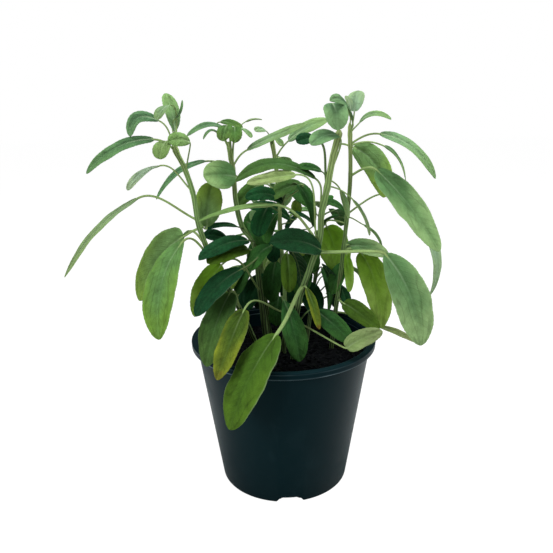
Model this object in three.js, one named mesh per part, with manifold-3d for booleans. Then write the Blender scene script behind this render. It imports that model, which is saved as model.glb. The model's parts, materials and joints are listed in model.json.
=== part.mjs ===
// Potted sage: a tapered nursery pot, the potting mix that fills it, and the leafy stems that
// grow from the mix. Millimetres, +Z up. The origin is the centre of the pot's underside, and
// -Y is the front.

import * as THREE from 'three';
import Module from 'manifold-3d';
import { mergeVertices } from 'three/addons/utils/BufferGeometryUtils.js';

const wasm = await Module();
wasm.setup();
const MERGE_DISTANCE = 1e-4;

// Pot
const POT_HEIGHT = 106;
const RIM_RADIUS = 65;
const RIM_HEIGHT = 5;
const WALL_TOP_RADIUS = 61;
const BASE_RADIUS = 45.5;
const WALL = 1.5;
const EDGE = 0.8;
const FLOOR = 1.6;
const FLOOR_STEP = 2;
const FLOOR_DISC = 26;
const FOOT_WIDTH = 4;
const POT_SIDES = 32;

// Notches in the pot's bottom edge, each with a drain hole behind it
const NOTCH_COUNT = 3;
const NOTCH_FRONT_ANGLE = 4;
const NOTCH_WIDTH = 21;
const NOTCH_TOP_WIDTH = 13;
const NOTCH_HEIGHT = 4.2;
const DRAIN_RADIUS = 4;
const DRAIN_PLACE = 34.5;
const DRAIN_CUT = 12;
const DRAIN_SIDES = 12;

// Potting mix
const MIX_TOP = 92;
const MIX_MOUND = 3;
const MIX_LUMP = 0.9;
const MIX_WAVES = [[0.31, 0.17, 0], [-0.12, 0.23, 1]];
const MIX_RINGS = 4;
const CLEARANCE = 0.3;
const WALL_CLEARANCE = 0.5;
const STEM_HOLE_CLEARANCE = 0.4;
const STEM_BOTTOM = 74;

// Stems and petioles
const STEM_SIDES = 7;
const STEM_EXTRA_RINGS = 2;
const HALVINGS = 30;
const LARGEST_PETIOLE = 1;
const SMALLEST_PETIOLE = 0.42;
const PETIOLE_GROWTH = 0.008;
const PETIOLE_RISE = 0.12;
const PETIOLE_PULL = 0.35;
const PETIOLE_RINGS = 2;

// Blades: blunt at both ends, with a waved edge. Small leaves are widest past the middle, large
// ones before it. Small leaves are folded up more steeply along the rib and have fewer rings.
const BLADE_THICKNESS = 0.75;
const RIB_DEPTH = 0.5;
const SMALLEST_LEAF = 12;
const LARGEST_LEAF = 40;
const WIDEST_PLACE = [0.56, 0.44];
const END_BLUNTNESS = [0.48, 0.58];
const SIDE_FULLNESS = 2.3;
const NARROWEST = 0.5;
const EDGE_WAVE = 0.04;
const EDGE_LIFT = 0.35;
const STEEPEST_FOLD = 7;
const FLATTEST_FOLD = 3;
const FOLD_AT_NO_LENGTH = 9;
const FOLD_LOSS = 0.1;
const ARCH_PLACE = 0.45;
const SMALL_LEAF = 29;
const SMALL_BLADE_RINGS = 4;
const BLADE_RINGS = 6;
const END_INSET = 0.35;

// Each leafy stem has its axis from the mix to its tip, its radius at the bottom and at the top,
// and a row for each leaf: the height where it leaves the stem, the base of its blade, its tip,
// its width, how high its rib arches, how far it rolls about its rib in degrees, and what sets it
// apart: the place along the rib where the arch is highest, how far the rib sways to the side,
// the place where the blade is widest, how steeply its petiole rises, how far the petiole keeps to
// the rib's line, or the petiole's radius.
const LEAFY_STEMS = {
  stem_left: {
    axis: [[-12, -9, STEM_BOTTOM], [-16, -11, 93], [-23, -14, 115], [-36, -16, 145],
      [-46, -18, 165], [-54, -20, 190], [-57, -19, 211], [-62, -17, 227], [-67, -16, 238],
      [-68, -15, 246]],
    radius: [1.9, 1.6],
    leaves: [
      [245, [-67, -15, 249], [-73, -6, 272], 10.5, 1, 0, { widest: 0.6, sway: 1 }],
      [235, [-69, -19, 265], [-75, -27, 257], 10, 1.5, 0],
      [237, [-66, -15, 257], [-61, -17, 268], 3, -1.5, 60],
      [238, [-76, -18, 256], [-93, -24, 247], 8.5, 7.5, -50, { archPlace: 0.58 }],
      [237, [-79, -22, 245], [-119, -34, 226], 10, 5.5, -35],
      [238, [-71, -24, 244], [-74, -33, 234], 11.5, 2, 0],
      [224, [-57, -22, 243], [-69, -30, 244], 9.5, 1.5, -60, { pull: 0.08 }],
      [212, [-76, -22, 229], [-96, -30, 215], 6.5, 3, -35, { widest: 0.72, rise: 0.03 }],
      [194, [-90, -30, 210], [-133, -52, 166], 13, 5, 0, { rise: 0.02 }],
      [165, [-63, -36, 183], [-77, -58, 127], 24.5, 3, 0, { sway: 6, widest: 0.56 }],
      [188, [-65, -16, 182], [-98, -12, 137], 29, 3, -50, { sway: 3 }],
      [190, [-50, -10, 187], [-46, -2, 215], 18.5, 2, 50, { widest: 0.54 }],
      [130, [-35, -25, 146], [-50, -48, 104], 23, 4, 0],
      [176, [-66, 4, 180], [-86, 22, 136], 22, 5, -20],
    ],
  },
  stem_mid_left: {
    axis: [[-10, 0, STEM_BOTTOM], [-11, 1, 93], [-14, 4, 116], [-17, 9, 145], [-20, 12, 170],
      [-28, 13, 182], [-32, 14, 200], [-33, 15, 217], [-36, 15, 240]],
    radius: [2.4, 1.6],
    leaves: [
      [228, [-39, 10, 250], [-62, 4, 245], 8, 3.5, -20],
      [224, [-40, 6, 245], [-51, 0, 243], 4, 4.5, -10],
      [235, [-41, 16, 253], [-26, 14, 249], 7.5, 1, 25],
      [222, [-36, 10, 251], [-38, -4, 242], 10.5, 1.5, 0],
      [222, [-31, 8, 250], [-30, -5, 241], 9.5, 1.5, 0],
      [230, [-24, 16, 253], [-13, 18, 254], 5, 1, 0],
      [229, [-27, 13, 249], [-20, 8, 243], 6, 1, 0],
      [220, [-51, 8, 228], [-84, 0, 204], 8, 5.4, -20],
      [217, [-31, 4, 218], [-51, -8, 220], 20, 1, -65],
      [223, [-23, 10, 235], [17, 3, 252], 12.5, 0.8, 25, { widest: 0.45 }],
      [180, [-31, 4, 184], [-52, -8, 185], 6.5, 2, -20],
      [168, [-23, -12, 178], [-53, -38, 172], 13, 3.5, -25],
      [157, [-23, -12, 172], [-48, -35, 169], 15, 3, -30],
      [136, [-40, -25, 165], [-59, -26, 130], 15.5, 2.5, -68],
      [173, [-24, 18, 184], [-13, 12, 165], 15, 3, 20],
      [157, [-37, 2, 174], [-53, -6, 180], 11, 2, -40],
    ],
  },
  stem_back: {
    axis: [[4, 12, STEM_BOTTOM], [3, 13, 93], [1, 16, 127], [-1, 22, 160], [-2, 28, 190],
      [-4, 32, 222], [-7, 34, 241]],
    radius: [1.9, 1.6],
    leaves: [
      [239, [-11, 32, 246], [-18, 26, 246], 7, 1, -30],
      [235, [-8, 30, 240], [-18, 26, 235], 6, 1, -20],
      [236, [-4, 29, 241], [0, 22, 236], 6, 1, 0],
      [226, [5, 30, 239], [32, 22, 253], 13, 2, 40],
      [199, [-13, 30, 209], [-31, 24, 194], 13, 3, -40],
      [206, [4, 28, 208], [20, 18, 194], 15, 3, 30],
      [179, [5, 12, 187], [-23, 4, 197], 12, 4, -35],
      [186, [10, 18, 187], [10, 21, 199], 7.5, 1, 0],
      [165, [-12, 24, 170], [-24, 26, 152], 16, 3, -30],
      [172, [10, 24, 166], [22, 13, 148], 16, 3, 30],
      [132, [-10, 22, 142], [-26, 20, 118], 20, 4, -30],
      [130, [12, 20, 138], [24, 16, 112], 20, 4, 30],
      [204, [-4, 47, 206], [2, 67, 186], 17, 5, 0],
      [222, [-1, 46, 226], [5, 66, 212], 12, 3, 0],
      [172, [20, 10, 185], [4, 6, 193], 5, 2, -30],
      [142, [-5, 18, 155], [-8, 10, 127], 15, 3, 0],
      [137, [2, 22, 143], [4, 16, 124], 13, 2, 0],
      [162, [-2, 9, 174], [-7, 2, 159], 13, 2, 0],
    ],
  },
  stem_centre: {
    axis: [[0, -5, STEM_BOTTOM], [0, -5, 93], [1, -5, 115], [1, -4, 141], [-1, -4, 176],
      [-2, -4, 200]],
    radius: [1.9, 1.1],
    leaves: [
      [194, [0, -6, 202], [-24, -12, 206], 12, 4.5, -40],
      [195, [-10, -8, 199], [-16, -18, 182], 15, 2, 0],
      [199, [10, -8, 214], [20, -13, 187], 13, 3, 0],
      [199, [12, -8, 214], [-9, -6, 204], 14, 2, -35],
      [176, [-27, -29, 163], [-55, -50, 139], 19, 4, -10],
      [125, [-25, -44, 141], [-41, -72, 106], 17, 1.5, 0, { widest: 0.45, rise: -0.02 }],
      [126, [0, -23, 140], [10, -42, 104], 17, 3, 0, { widest: 0.62 }],
      [172, [-8, -12, 174], [-22, -22, 160], 13, 3, -20],
      [161, [3, -10, 168], [4, -16, 143], 11, 2, 0],
      [164, [6, -2, 169], [13, 4, 137], 16, 3, 0],
      [182, [-4, 0, 193], [-11, -4, 174], 11, 2, -20],
    ],
  },
  stem_mid_right: {
    axis: [[4, -15, STEM_BOTTOM], [6, -16, 93], [8, -17, 120], [11, -18, 140], [19, -18, 164],
      [24, -18, 180], [25, -17, 196], [28, -16, 210], [32, -16, 232], [36, -16, 249]],
    radius: [1.9, 2.2],
    leaves: [
      [246, [31, -20, 265], [33, -33, 250], 15, 3, 0, { widest: 0.5 }],
      [246, [37, -19, 261], [36, -27, 251], 6, 2, 0],
      [212, [34, -22, 246], [17, -40, 242], 13, 2.5, -25],
      [213, [20, -18, 244], [9, -22, 242], 9.5, 1, -45, { stalk: 0.9 }],
      [196, [21, -16, 219], [-29, -26, 219], 15, 10, -22, { archPlace: 0.56 }],
      [175, [8, -27, 223], [-22, -34, 219], 9.5, 0.6, -40],
      [177, [-6, -30, 205], [-51, -46, 198], 11.5, 2.6, 0, { stalk: 1.1 }],
      [171, [24, -28, 175], [-8, -40, 183], 20, 3.5, -40],
      [233, [49, 18, 235], [69, 8, 202], 20, 4, 45, { sway: -3 }],
      [218, [38, -8, 210], [44, -2, 190], 6, 1, 0],
      [214, [46, -8, 204], [58, -6, 179], 9, 2, 0],
      [171, [65, -28, 172], [87, -46, 116], 24.5, 4, 40,
        { widest: 0.54, sway: -2, rise: 0, stalk: 1.15, pull: 0.1 }],
      [148, [-5, -54, 128], [-34, -80, 77], 31, 4, 0, { widest: 0.5, stalk: 1.4 }],
      [146, [15, -26, 149], [23, -36, 124], 7.5, 1, 0],
      [119, [22, -24, 132], [44, -38, 115], 14, 1, 35],
      [122, [40, -44, 114], [64, -36, 122], 12.5, 1.5, 40, { widest: 0.38, pull: 0.05, rise: 0.04 }],
      [204, [25, -12, 223], [10, -16, 226], 9, 1, -30],
    ],
  },
  stem_right: {
    axis: [[32, 1, STEM_BOTTOM], [34, 1, 93], [37, 2, 123], [41, 6, 155], [44, 8, 185],
      [46, 8, 214], [45, 8, 252]],
    radius: [1.7, 1.4],
    leaves: [
      [245, [45, -6, 254], [28, -36, 267], 9, 6, -50],
      [241, [48, 10, 259], [51, 16, 272], 12, 1, 0],
      [245, [45, 6, 260], [42, 9, 269], 6, 1, 0],
      [245, [51, 6, 252], [71, 2, 254], 6.5, 4.7, 30],
      [238, [64, 2, 245], [99, -10, 217], 13.5, 6, 20],
      [237, [71, 24, 235], [88, 30, 210], 6.5, 4, 35],
      [217, [62, -4, 222], [102, -20, 171], 25, 2.5, 30, { widest: 0.44, stalk: 0.9 }],
      [191, [77, 14, 201], [104, 6, 132], 11, 14, 35, { archPlace: 0.6, widest: 0.34, stalk: 0.7 }],
      [189, [57, 14, 182], [70, 16, 166], 8, 2, 0],
      [167, [44, 12, 167], [74, 8, 161], 12, 3, 50],
      [165, [44, 2, 164], [46, -2, 138], 8, 1, 0],
      [184, [32, 28, 178], [41, 20, 145], 22, 2, 50],
      [190, [44, 22, 190], [28, 18, 198], 12, 2, -20],
      [186, [40, 24, 186], [29, 30, 176], 10, 3, 0],
      [166, [55, 12, 163], [70, 2, 109], 21, 4, 35, { sway: -1, widest: 0.42 }],
      [128, [40, 18, 128], [28, 11, 155], 14, 2, 0],
      [131, [42, -2, 130], [66, -12, 114], 15, 1, 35, { widest: 0.42 }],
      [150, [45, 14, 155], [35, 6, 134], 15, 2, 0],
      [169, [60, 28, 160], [79, 42, 122], 22, 5, 10],
      [122, [70, 8, 108], [96, 2, 98], 6.5, 1, 20],
    ],
  },
  stem_rear_left: {
    axis: [[-6, 12, STEM_BOTTOM], [-9, 19, 93], [-13, 30, 125], [-16, 38, 155], [-18, 43, 187]],
    radius: [1.9, 1.1],
    leaves: [
      [116, [-24, 44, 124], [-44, 72, 98], 23, 6, 0],
      [118, [-3, 38, 122], [-5, 20, 105], 15, 2, 0],
      [140, [-10, 54, 148], [-8, 92, 118], 24, 7, 0],
      [142, [-28, 32, 148], [-42, 20, 129], 19, 4, 0],
      [162, [-30, 50, 168], [-50, 66, 140], 21, 5, 0],
      [164, [-6, 42, 172], [8, 44, 158], 18, 3, 0],
      [181, [-14, 54, 190], [-10, 80, 178], 16, 4, 0],
      [186, [-14, 36, 191], [-18, 22, 180], 13, 3, 0],
      [185, [-20, 46, 192], [-24, 50, 203], 8, 1, 0],
      [185, [-15, 41, 192], [-9, 36, 200], 8, 1, 0],
      [176, [-17, 38, 190], [-23, 28, 170], 15, 3, 0],
      [140, [-23, 30, 152], [-33, 18, 131], 15, 3, 0],
      [130, [-23, 34, 133], [-30, 28, 113], 15, 2, 0],
      [128, [-15, 33, 138], [-19, 28, 116], 13, 2, 0],
    ],
  },
  stem_rear_right: {
    axis: [[13, 8, STEM_BOTTOM], [17, 15, 93], [22, 27, 125], [27, 36, 155], [30, 42, 184]],
    radius: [1.9, 1.1],
    leaves: [
      [114, [36, 38, 122], [58, 58, 94], 23, 6, 0],
      [118, [16, 42, 126], [8, 72, 98], 23, 5, 0],
      [138, [42, 44, 146], [68, 54, 120], 21, 5, 0],
      [140, [17, 26, 148], [12, 8, 132], 15, 3, 0],
      [161, [34, 54, 168], [40, 88, 142], 22, 6, 0],
      [162, [20, 26, 172], [12, 12, 160], 14, 3, 0],
      [183, [39, 44, 187], [46, 62, 171], 14, 4, 0],
      [179, [22, 42, 187], [4, 44, 180], 15, 3, 0],
      [184, [33, 44, 190], [37, 50, 197], 7, 1, 0],
      [182, [28, 38, 190], [24, 30, 196], 8, 1, 0],
      [141, [29, 29, 147], [34, 27, 113], 17, 3, 0],
      [123, [42, 36, 132], [49, 31, 111], 13, 2, 0],
      [129, [33, 42, 135], [39, 39, 113], 14, 2, 0],
      [166, [13, 30, 186], [3, 26, 176], 10, 2, 0],
    ],
  },
};

const UP = new THREE.Vector3(0, 0, 1);

// A closed body from rings of equal length, capped at both ends. Rings run so that their points
// go clockwise as seen from the far end. Past half of a ring the squares are split the other
// way, so that a thin blade has the same folds on both faces.
function loftRings(rings) {
  const count = rings[0].length;
  const positions = rings.flat().flatMap((point) => [point.x, point.y, point.z]);
  const index = [];
  for (let ring = 0; ring < rings.length - 1; ring += 1) {
    for (let side = 0; side < count; side += 1) {
      const next = (side + 1) % count;
      const a = ring * count + side;
      const b = ring * count + next;
      const c = (ring + 1) * count + next;
      const d = (ring + 1) * count + side;
      if (side < count / 2) index.push(a, b, c, a, c, d);
      else index.push(a, b, d, b, c, d);
    }
  }
  const last = (rings.length - 1) * count;
  for (let side = 1; side < count - 1; side += 1) {
    index.push(0, side + 1, side);
    index.push(last, last + side, last + side + 1);
  }
  const geometry = new THREE.BufferGeometry();
  geometry.setAttribute('position', new THREE.Float32BufferAttribute(positions, 3));
  geometry.setIndex(index);
  return geometry;
}

// A ring's points from pairs of sideways and upward distances about a centre.
function ringAt(centre, side, face, pairs) {
  return pairs.map(([x, h]) => centre.clone().addScaledVector(side, x).addScaledVector(face, h));
}

function stemCurve(stem) {
  return new THREE.CatmullRomCurve3(stem.axis.map((point) => new THREE.Vector3(...point)));
}

// Every stem only rises, so halving finds the point of its axis at a height.
function pointAtHeight(curve, height) {
  let low = 0;
  let high = 1;
  for (let step = 0; step < HALVINGS; step += 1) {
    const middle = (low + high) / 2;
    if (curve.getPoint(middle).z < height) low = middle;
    else high = middle;
  }
  return curve.getPoint((low + high) / 2);
}

// A round tapered stem, wider by `extra` and longer by the same at its foot.
function stemBody(stem, extra = 0) {
  const curve = stemCurve(stem);
  const steps = stem.axis.length + STEM_EXTRA_RINGS;
  const rings = [];
  for (let step = 0; step <= steps; step += 1) {
    const along = step / steps;
    const radius = THREE.MathUtils.lerp(stem.radius[0], stem.radius[1], along) + extra;
    const centre = curve.getPoint(along);
    if (step === 0) centre.z -= extra;
    const tangent = curve.getTangent(along);
    const side = new THREE.Vector3(1, 0, 0).addScaledVector(tangent, -tangent.x).normalize();
    const face = side.clone().cross(tangent);
    const pairs = [];
    for (let corner = 0; corner < STEM_SIDES; corner += 1) {
      const turn = (-2 * Math.PI * corner) / STEM_SIDES;
      pairs.push([radius * Math.cos(turn), radius * Math.sin(turn)]);
    }
    rings.push(ringAt(centre, side, face, pairs));
  }
  return loftRings(rings);
}

// The share of a blade's half width at a place along its rib, from 0 at the base to 1 at the tip.
function bladeOutline(along, length, widest) {
  const grown = THREE.MathUtils.clamp((length - SMALLEST_LEAF) / (LARGEST_LEAF - SMALLEST_LEAF), 0, 1);
  const middle = widest ?? THREE.MathUtils.lerp(...WIDEST_PLACE, grown);
  const fromWidest = Math.abs(2 * Math.pow(along, Math.log(0.5) / Math.log(middle)) - 1);
  const bluntness = THREE.MathUtils.lerp(...END_BLUNTNESS, grown);
  return Math.pow(Math.max(1 - Math.pow(fromWidest, SIDE_FULLNESS), 0), bluntness);
}

// Places along the rib are closer together near both ends, where the outline is round.
function ringPlace(step, count) {
  return 0.5 - 0.5 * Math.cos((Math.PI * (step + END_INSET)) / (count - 1 + 2 * END_INSET));
}

// A leaf's petiole and rib as curves, with the blade's level side direction.
function leafCurves(stem, row) {
  const [height, basePoint, tipPoint, , arch, rollDegrees, more = {}] = row;
  const root = pointAtHeight(stemCurve(stem), height);
  const base = new THREE.Vector3(...basePoint);
  const tip = new THREE.Vector3(...tipPoint);
  const chord = tip.clone().sub(base);
  const side = chord.clone().cross(UP).normalize();
  const rise = side.clone().cross(chord).normalize();
  const roll = THREE.MathUtils.degToRad(rollDegrees);
  const across = side.clone().applyAxisAngle(chord.clone().normalize(), roll);
  const top = base.clone().addScaledVector(chord, more.archPlace ?? ARCH_PLACE);
  top.addScaledVector(rise, 2 * arch).addScaledVector(across, 2 * (more.sway ?? 0));
  const rib = new THREE.QuadraticBezierCurve3(base, top, tip);
  const reach = base.distanceTo(root);
  const lift = (more.rise ?? PETIOLE_RISE) * reach;
  const leave = root.clone().lerp(base, PETIOLE_PULL).addScaledVector(UP, lift);
  const pull = (more.pull ?? PETIOLE_PULL) * reach;
  const arrive = base.clone().addScaledVector(rib.getTangent(0), -pull);
  const petiole = new THREE.CubicBezierCurve3(root, leave, arrive, base);
  return { petiole, rib, side };
}

// A leaf as one loft: a six-sided petiole that opens into a thin blade, folded up along its rib.
function leafBody(stem, row) {
  const { petiole, rib, side } = leafCurves(stem, row);
  const [, , , width, , rollDegrees, more = {}] = row;
  const length = rib.getLength();
  const foldDegrees = FOLD_AT_NO_LENGTH - FOLD_LOSS * length;
  const fold = THREE.MathUtils.degToRad(THREE.MathUtils.clamp(foldDegrees, FLATTEST_FOLD, STEEPEST_FOLD));
  const roll = THREE.MathUtils.degToRad(rollDegrees);
  const grown = Math.min(LARGEST_PETIOLE, SMALLEST_PETIOLE + PETIOLE_GROWTH * length);
  const radius = more.stalk ?? grown;
  const rings = [];
  const addRing = (centre, tangent, pairs) => {
    const level = side.clone().addScaledVector(tangent, -side.dot(tangent)).normalize();
    const turned = level.applyAxisAngle(tangent, roll);
    rings.push(ringAt(centre, turned, turned.clone().cross(tangent), pairs));
  };
  for (let step = 0; step < PETIOLE_RINGS; step += 1) {
    const along = step / PETIOLE_RINGS;
    const wide = radius * Math.cos(Math.PI / 6);
    const tall = radius / 2;
    addRing(petiole.getPoint(along), petiole.getTangent(along),
      [[-wide, tall], [0, radius], [wide, tall], [wide, -tall], [0, -radius], [-wide, -tall]]);
  }
  const count = length < SMALL_LEAF ? SMALL_BLADE_RINGS : BLADE_RINGS;
  for (let step = 0; step < count; step += 1) {
    const along = ringPlace(step, count);
    const wave = step % 2 === 0 ? 1 : -1;
    const share = bladeOutline(along, length, more.widest);
    const half = Math.max(NARROWEST, (width / 2) * share * (1 + EDGE_WAVE * wave));
    const out = half * Math.cos(fold);
    const lift = half * Math.sin(fold) - EDGE_LIFT * wave * share;
    const thick = BLADE_THICKNESS / 2;
    addRing(rib.getPoint(along), rib.getTangent(along),
      [[-out, lift + thick], [0, thick], [out, lift + thick],
        [out, lift - thick], [0, -thick - RIB_DEPTH * (1 - along)], [-out, lift - thick]]);
  }
  return loftRings(rings);
}

// The solid of a closed geometry, for joins and cuts.
function solidOf(geometry) {
  const bare = geometry.clone();
  bare.deleteAttribute('normal');
  bare.deleteAttribute('uv');
  const merged = mergeVertices(bare, MERGE_DISTANCE);
  const mesh = new wasm.Mesh({
    numProp: 3,
    vertProperties: new Float32Array(merged.attributes.position.array),
    triVerts: new Uint32Array(merged.index.array),
  });
  return new wasm.Manifold(mesh);
}

function geometryOf(solid) {
  const mesh = solid.getMesh();
  const geometry = new THREE.BufferGeometry();
  geometry.setAttribute('position', new THREE.BufferAttribute(new Float32Array(mesh.vertProperties), 3));
  geometry.setIndex(new THREE.BufferAttribute(new Uint32Array(mesh.triVerts), 1));
  geometry.computeVertexNormals();
  return geometry;
}

// A body turned about the Z axis from a profile of radius and height.
function turned(profile, sides = POT_SIDES) {
  const points = profile.map(([radius, height]) => new THREE.Vector2(radius, height));
  return new THREE.LatheGeometry(points, sides).rotateX(Math.PI / 2);
}

function innerRadiusAt(height) {
  const along = height / (POT_HEIGHT - RIM_HEIGHT);
  return THREE.MathUtils.lerp(BASE_RADIUS, WALL_TOP_RADIUS, along) - WALL;
}

function makePot() {
  const rimBottom = POT_HEIGHT - RIM_HEIGHT;
  const rimInner = innerRadiusAt(rimBottom);
  const foot = BASE_RADIUS - FOOT_WIDTH;
  const stepIn = FLOOR_DISC + FLOOR_STEP;
  const profile = [
    [0, 0], [FLOOR_DISC, 0], [stepIn, FLOOR_STEP], [foot, FLOOR_STEP], [foot + EDGE, 0],
    [BASE_RADIUS - EDGE, 0], [BASE_RADIUS, EDGE],
    [WALL_TOP_RADIUS, rimBottom], [RIM_RADIUS - EDGE, rimBottom], [RIM_RADIUS, rimBottom + EDGE],
    [RIM_RADIUS, POT_HEIGHT - EDGE], [RIM_RADIUS - EDGE, POT_HEIGHT], [rimInner + EDGE, POT_HEIGHT],
    [rimInner, POT_HEIGHT - EDGE], [rimInner, rimBottom],
    [innerRadiusAt(FLOOR_STEP + FLOOR), FLOOR_STEP + FLOOR], [stepIn - FLOOR / 2, FLOOR_STEP + FLOOR],
    [FLOOR_DISC - FLOOR / 2, FLOOR], [0, FLOOR],
  ];
  let pot = solidOf(turned(profile));
  const notch = new THREE.Shape([
    new THREE.Vector2(-NOTCH_WIDTH / 2, -EDGE),
    new THREE.Vector2(NOTCH_WIDTH / 2, -EDGE),
    new THREE.Vector2(NOTCH_TOP_WIDTH / 2, NOTCH_HEIGHT),
    new THREE.Vector2(-NOTCH_TOP_WIDTH / 2, NOTCH_HEIGHT),
  ]);
  for (let count = 0; count < NOTCH_COUNT; count += 1) {
    const turn = THREE.MathUtils.degToRad(NOTCH_FRONT_ANGLE + (360 / NOTCH_COUNT) * count);
    const cutter = new THREE.ExtrudeGeometry(notch, { depth: 2 * FOOT_WIDTH, bevelEnabled: false });
    cutter.rotateX(Math.PI / 2).translate(0, FOOT_WIDTH - BASE_RADIUS, 0).rotateZ(turn);
    const drain = new THREE.CylinderGeometry(DRAIN_RADIUS, DRAIN_RADIUS, DRAIN_CUT, DRAIN_SIDES);
    drain.rotateX(Math.PI / 2).translate(0, -DRAIN_PLACE, 0).rotateZ(turn);
    pot = pot.subtract(solidOf(cutter)).subtract(solidOf(drain));
  }
  return geometryOf(pot);
}

// The mix's surface is lumpy by a few waves that grow weaker towards the wall.
function lumpAt(x, y) {
  const edge = 1 - (x * x + y * y) / (RIM_RADIUS * RIM_RADIUS);
  const waves = MIX_WAVES.map(([alongX, alongY, start]) => Math.sin(alongX * x + alongY * y + start));
  return MIX_LUMP * edge * waves.reduce((sum, wave) => sum + wave, 0);
}

function makeMix() {
  const stepIn = FLOOR_DISC + FLOOR_STEP;
  const low = FLOOR + CLEARANCE;
  const wallTop = innerRadiusAt(MIX_TOP) - WALL_CLEARANCE;
  const wallLow = innerRadiusAt(low + FLOOR_STEP) - WALL_CLEARANCE;
  const profile = [[0, low], [FLOOR_DISC - FLOOR_STEP, low], [stepIn - FLOOR_STEP, low + FLOOR_STEP],
    [wallLow, low + FLOOR_STEP]];
  for (let ring = MIX_RINGS; ring >= 0; ring -= 1) {
    const share = ring / MIX_RINGS;
    profile.push([wallTop * share, MIX_TOP + MIX_MOUND * (1 - share * share)]);
  }
  const body = turned(profile);
  const place = body.attributes.position;
  for (let point = 0; point < place.count; point += 1) {
    if (place.getZ(point) < MIX_TOP + CLEARANCE) continue;
    place.setZ(point, place.getZ(point) + lumpAt(place.getX(point), place.getY(point)));
  }
  let mix = solidOf(body);
  for (const stem of Object.values(LEAFY_STEMS)) {
    mix = mix.subtract(solidOf(stemBody(stem, STEM_HOLE_CLEARANCE)));
  }
  return geometryOf(mix);
}

function makeLeafyStem(stem) {
  let body = solidOf(stemBody(stem));
  for (const row of stem.leaves) {
    body = body.add(solidOf(leafBody(stem, row)));
  }
  return geometryOf(body);
}

const potPlastic = new THREE.MeshStandardMaterial({ color: 0x16222a, roughness: 0.5, metalness: 0 });
const darkMix = new THREE.MeshStandardMaterial({ color: 0x15110d, roughness: 1, metalness: 0 });
const sageGreen = new THREE.MeshStandardMaterial({ color: 0x5f8f5a, roughness: 0.8, metalness: 0 });

const pottedSage = new THREE.Group();

function addPiece(name, geometry, material) {
  const mesh = new THREE.Mesh(geometry, material);
  mesh.name = name;
  pottedSage.add(mesh);
}

addPiece('pot', makePot(), potPlastic);
addPiece('potting_mix', makeMix(), darkMix);
for (const [name, stem] of Object.entries(LEAFY_STEMS)) {
  addPiece(name, makeLeafyStem(stem), sageGreen);
}

export default pottedSage;
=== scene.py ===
# %% [markdown]
# # Potted sage
#
# A kitchen herb in a dark nursery pot: a moulded plastic pot, the moist mix that fills it, and
# eight upright stems with long-stalked, soft, grey-green leaves. The solid model gives the
# place and size of every piece. This script keeps them and makes the surfaces finer: each
# blade gets its scalloped margin, its sunken veins and its felt, and each stalk its channel
# and hairs.
#
# Lengths are written in millimetres, as they would be measured on the plant, and `mm` turns
# them into the metres that Blender uses.

# %% Load the solid model
import json
import math

import bmesh
import bpy
import numpy as np
from mathutils import Matrix, Vector, noise

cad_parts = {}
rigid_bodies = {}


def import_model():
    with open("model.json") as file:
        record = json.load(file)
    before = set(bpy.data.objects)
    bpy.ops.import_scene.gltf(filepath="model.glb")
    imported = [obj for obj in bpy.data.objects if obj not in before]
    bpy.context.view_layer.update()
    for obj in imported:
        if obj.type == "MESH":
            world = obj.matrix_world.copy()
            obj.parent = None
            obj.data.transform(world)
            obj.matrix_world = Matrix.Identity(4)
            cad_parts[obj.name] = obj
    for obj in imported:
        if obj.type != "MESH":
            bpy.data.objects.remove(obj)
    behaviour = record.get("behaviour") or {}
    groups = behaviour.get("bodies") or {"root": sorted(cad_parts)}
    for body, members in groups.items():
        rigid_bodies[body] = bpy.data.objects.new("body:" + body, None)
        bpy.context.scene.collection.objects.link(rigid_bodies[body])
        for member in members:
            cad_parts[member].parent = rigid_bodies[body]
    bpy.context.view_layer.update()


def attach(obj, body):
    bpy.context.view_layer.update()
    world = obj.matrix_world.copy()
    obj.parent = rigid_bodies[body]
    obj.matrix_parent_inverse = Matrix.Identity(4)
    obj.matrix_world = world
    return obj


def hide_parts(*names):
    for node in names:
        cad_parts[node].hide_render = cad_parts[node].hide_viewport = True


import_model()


def mm(length):
    """Millimetres as metres."""
    return np.asarray(length) * 0.001


# %% [markdown]
# ## One way to write node trees
#
# Both materials and Geometry Nodes are graphs of small steps. Adding every Math node by hand
# hides what is worked out, so one small class stands for an output socket and lets Python
# write the graph: `1 - mask * 0.5` adds the two Math nodes. The same class serves both kinds
# of tree, because their Math, Mix and Noise nodes are the same.


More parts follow.
